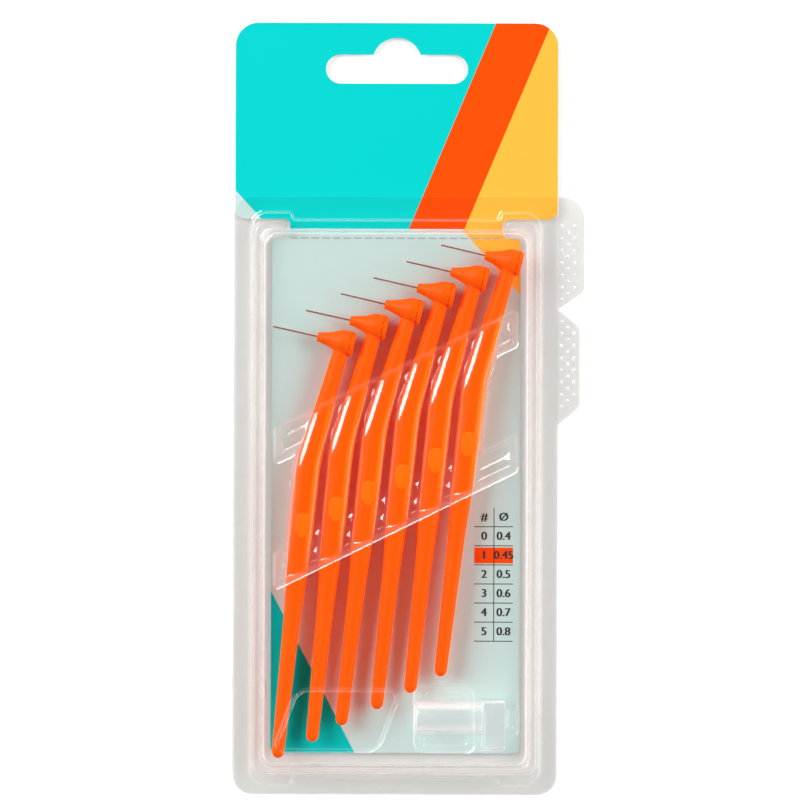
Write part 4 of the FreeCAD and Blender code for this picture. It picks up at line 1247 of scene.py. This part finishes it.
def makeFigure(text, x, y):
    curve = bpy.data.curves.new("tableFigure", "FONT")
    curve.body = text
    curve.align_x, curve.align_y = "CENTER", "CENTER"
    curve.size = figures["size"] * mm
    carrier = bpy.data.objects.new("carrier", curve)
    mesh = bpy.data.meshes.new_from_object(carrier)
    bpy.data.objects.remove(carrier)
    bm = bmesh.new()
    for strike, side in ((1, -1), (2, 1)):
        count = len(bm.verts)
        bm.from_mesh(mesh)
        bm.verts.ensure_lookup_table()
        spot = Vector((x + side * figures["bold"], y, cardTop + strike * figures["lift"])) * mm
        bmesh.ops.translate(bm, vec=spot, verts=bm.verts[count:])
    bm.to_mesh(mesh)
    bm.free()
    mesh.materials.clear()
    return mesh


for row, texts in enumerate(figures["rows"]):
    for column, (text, x) in enumerate(zip(texts, figures["columns"])):
        mesh = makeFigure(text, x, ruleY(row - 0.5))
        addPiece(f"table_figure_{row}_{column}", mesh, "table_ink", "printed_card", "tray")
print("table figures set")


# stage: pale floor, soft light from both sides, camera square over the pack
stage = {"aim": (0.0, 0.02, 0.0), "lampFar": 1.6,
         "key": 28.0, "keyTilt": 42, "keyTurn": 138, "keySize": (1.15, 0.55),
         "low": (24.2, 18.6), "lowTilt": 58, "lowTurn": (158, 12), "lowSize": (1.2, 0.9),
         "sides": (1.5, 2.7), "sideEdge": (0.64, 0.95), "ends": (1.9, 0.8), "endEdge": (0.76, 0.95),
         "overhead": 0.03, "floorSize": 6.0, "floorDown": 0.0002, "floorTone": 0.86, "floorRough": 0.9,
         "floorLift": 0.3, "pixel": 0.2254, "axisPixel": (395.9, 495.5), "image": 800, "height": 1500.0,
         "roll": 0.2, "sensor": 36.0, "clipEnd": 20.0}


def makeFloor():
    bm = bmesh.new()
    bmesh.ops.create_grid(bm, x_segments=4, y_segments=4, size=stage["floorSize"])
    mesh = bpy.data.meshes.new("floor")
    bm.to_mesh(mesh)
    bm.free()
    floor = bpy.data.objects.new("floor", mesh)
    floor.location = (0, 0, -stage["floorDown"])
    scene.collection.objects.link(floor)
    material, tree, shader, out = newMaterial("pale_floor")
    shader.inputs["Base Color"].default_value = (stage["floorTone"],) * 3 + (1,)
    shader.inputs["Roughness"].default_value = stage["floorRough"]
    path = tree.nodes.new("ShaderNodeLightPath")
    seen = mathNode(tree, "MAXIMUM", path.outputs["Is Camera Ray"], path.outputs["Is Glossy Ray"])
    seen = mathNode(tree, "MAXIMUM", seen, path.outputs["Is Transmission Ray"])
    lift = tree.nodes.new("ShaderNodeEmission")
    tree.links.new(mathNode(tree, "MULTIPLY", seen, stage["floorLift"]), lift.inputs["Strength"])
    both = tree.nodes.new("ShaderNodeAddShader")
    tree.links.new(shader.outputs[0], both.inputs[0])
    tree.links.new(lift.outputs[0], both.inputs[1])
    tree.links.new(both.outputs[0], out.inputs["Surface"])
    mesh.materials.append(material)


def addLamp(name, tilt, turn, size, power):
    # rectangular lamp that faces the pack, tilted from overhead and turned from the right
    tilt, turn = math.radians(tilt), math.radians(turn)
    way = Vector((math.sin(tilt) * math.cos(turn), math.sin(tilt) * math.sin(turn), math.cos(tilt)))
    light = bpy.data.lights.new(name, "AREA")
    light.shape = "RECTANGLE"
    light.size, light.size_y = size
    light.energy = power
    lamp = bpy.data.objects.new(name, light)
    lamp.location = Vector(stage["aim"]) + way * stage["lampFar"]
    lamp.rotation_euler = (-way).to_track_quat("-Z", "Y").to_euler()
    scene.collection.objects.link(lamp)
    return lamp


def makeSky():
    # bright low down all round, dim overhead, as between soft boxes
    world = bpy.data.worlds.new("studio")
    scene.world = world
    world.use_nodes = True
    sky = world.node_tree
    background = sky.nodes["Background"]
    background.inputs["Color"].default_value = (1, 1, 1, 1)
    way = sky.nodes.new("ShaderNodeSeparateXYZ")
    sky.links.new(sky.nodes.new("ShaderNodeTexCoord").outputs["Generated"], way.inputs[0])
    brightest = 0.0
    for axis, side, edge, strength in (("X", -1.0, stage["sideEdge"], stage["sides"][0]),
                                       ("X", 1.0, stage["sideEdge"], stage["sides"][1]),
                                       ("Y", 1.0, stage["endEdge"], stage["ends"][0]),
                                       ("Y", -1.0, stage["endEdge"], stage["ends"][1])):
        band = sky.nodes.new("ShaderNodeMapRange")
        band.interpolation_type = "SMOOTHSTEP"
        sky.links.new(mathNode(sky, "MULTIPLY", way.outputs[axis], side), band.inputs["Value"])
        band.inputs["From Min"].default_value, band.inputs["From Max"].default_value = edge
        band.inputs["To Max"].default_value = strength
        brightest = mathNode(sky, "MAXIMUM", band.outputs["Result"], brightest)
    light = mathNode(sky, "ADD", brightest, stage["overhead"])
    sky.links.new(light, background.inputs["Strength"])


def addCamera():
    centre = stage["image"] / 2
    aimX = (centre - stage["axisPixel"][0]) * stage["pixel"]
    aimY = (stage["axisPixel"][1] - centre) * stage["pixel"]
    lens = bpy.data.cameras.new("photo_camera")
    lens.sensor_width = stage["sensor"]
    lens.lens = stage["sensor"] * stage["height"] / (stage["image"] * stage["pixel"])
    lens.clip_end = stage["clipEnd"]
    camera = bpy.data.objects.new("photo_camera", lens)
    camera.location = (aimX * mm, aimY * mm, stage["height"] * mm)
    camera.rotation_euler = (0, 0, math.radians(stage["roll"]))
    scene.collection.objects.link(camera)
    scene.camera = camera


makeFloor()
keyLamp = addLamp("key_light", stage["keyTilt"], stage["keyTurn"], stage["keySize"], stage["key"])
keyLamp.visible_diffuse = False  # gives the gloss its highlights
for name, turn, power in zip(("left_light", "right_light"), stage["lowTurn"], stage["low"]):
    lowLamp = addLamp(name, stage["lowTilt"], turn, stage["lowSize"], power)
    lowLamp.visible_glossy = False  # soft light from both sides, not mirrored in the clear sheets
makeSky()
addCamera()
scene.view_settings.view_transform = "Standard"
scene.cycles.transparent_max_bounces = 24  # the clear sheets, the cap and the filaments lie behind each other
print("stage set")
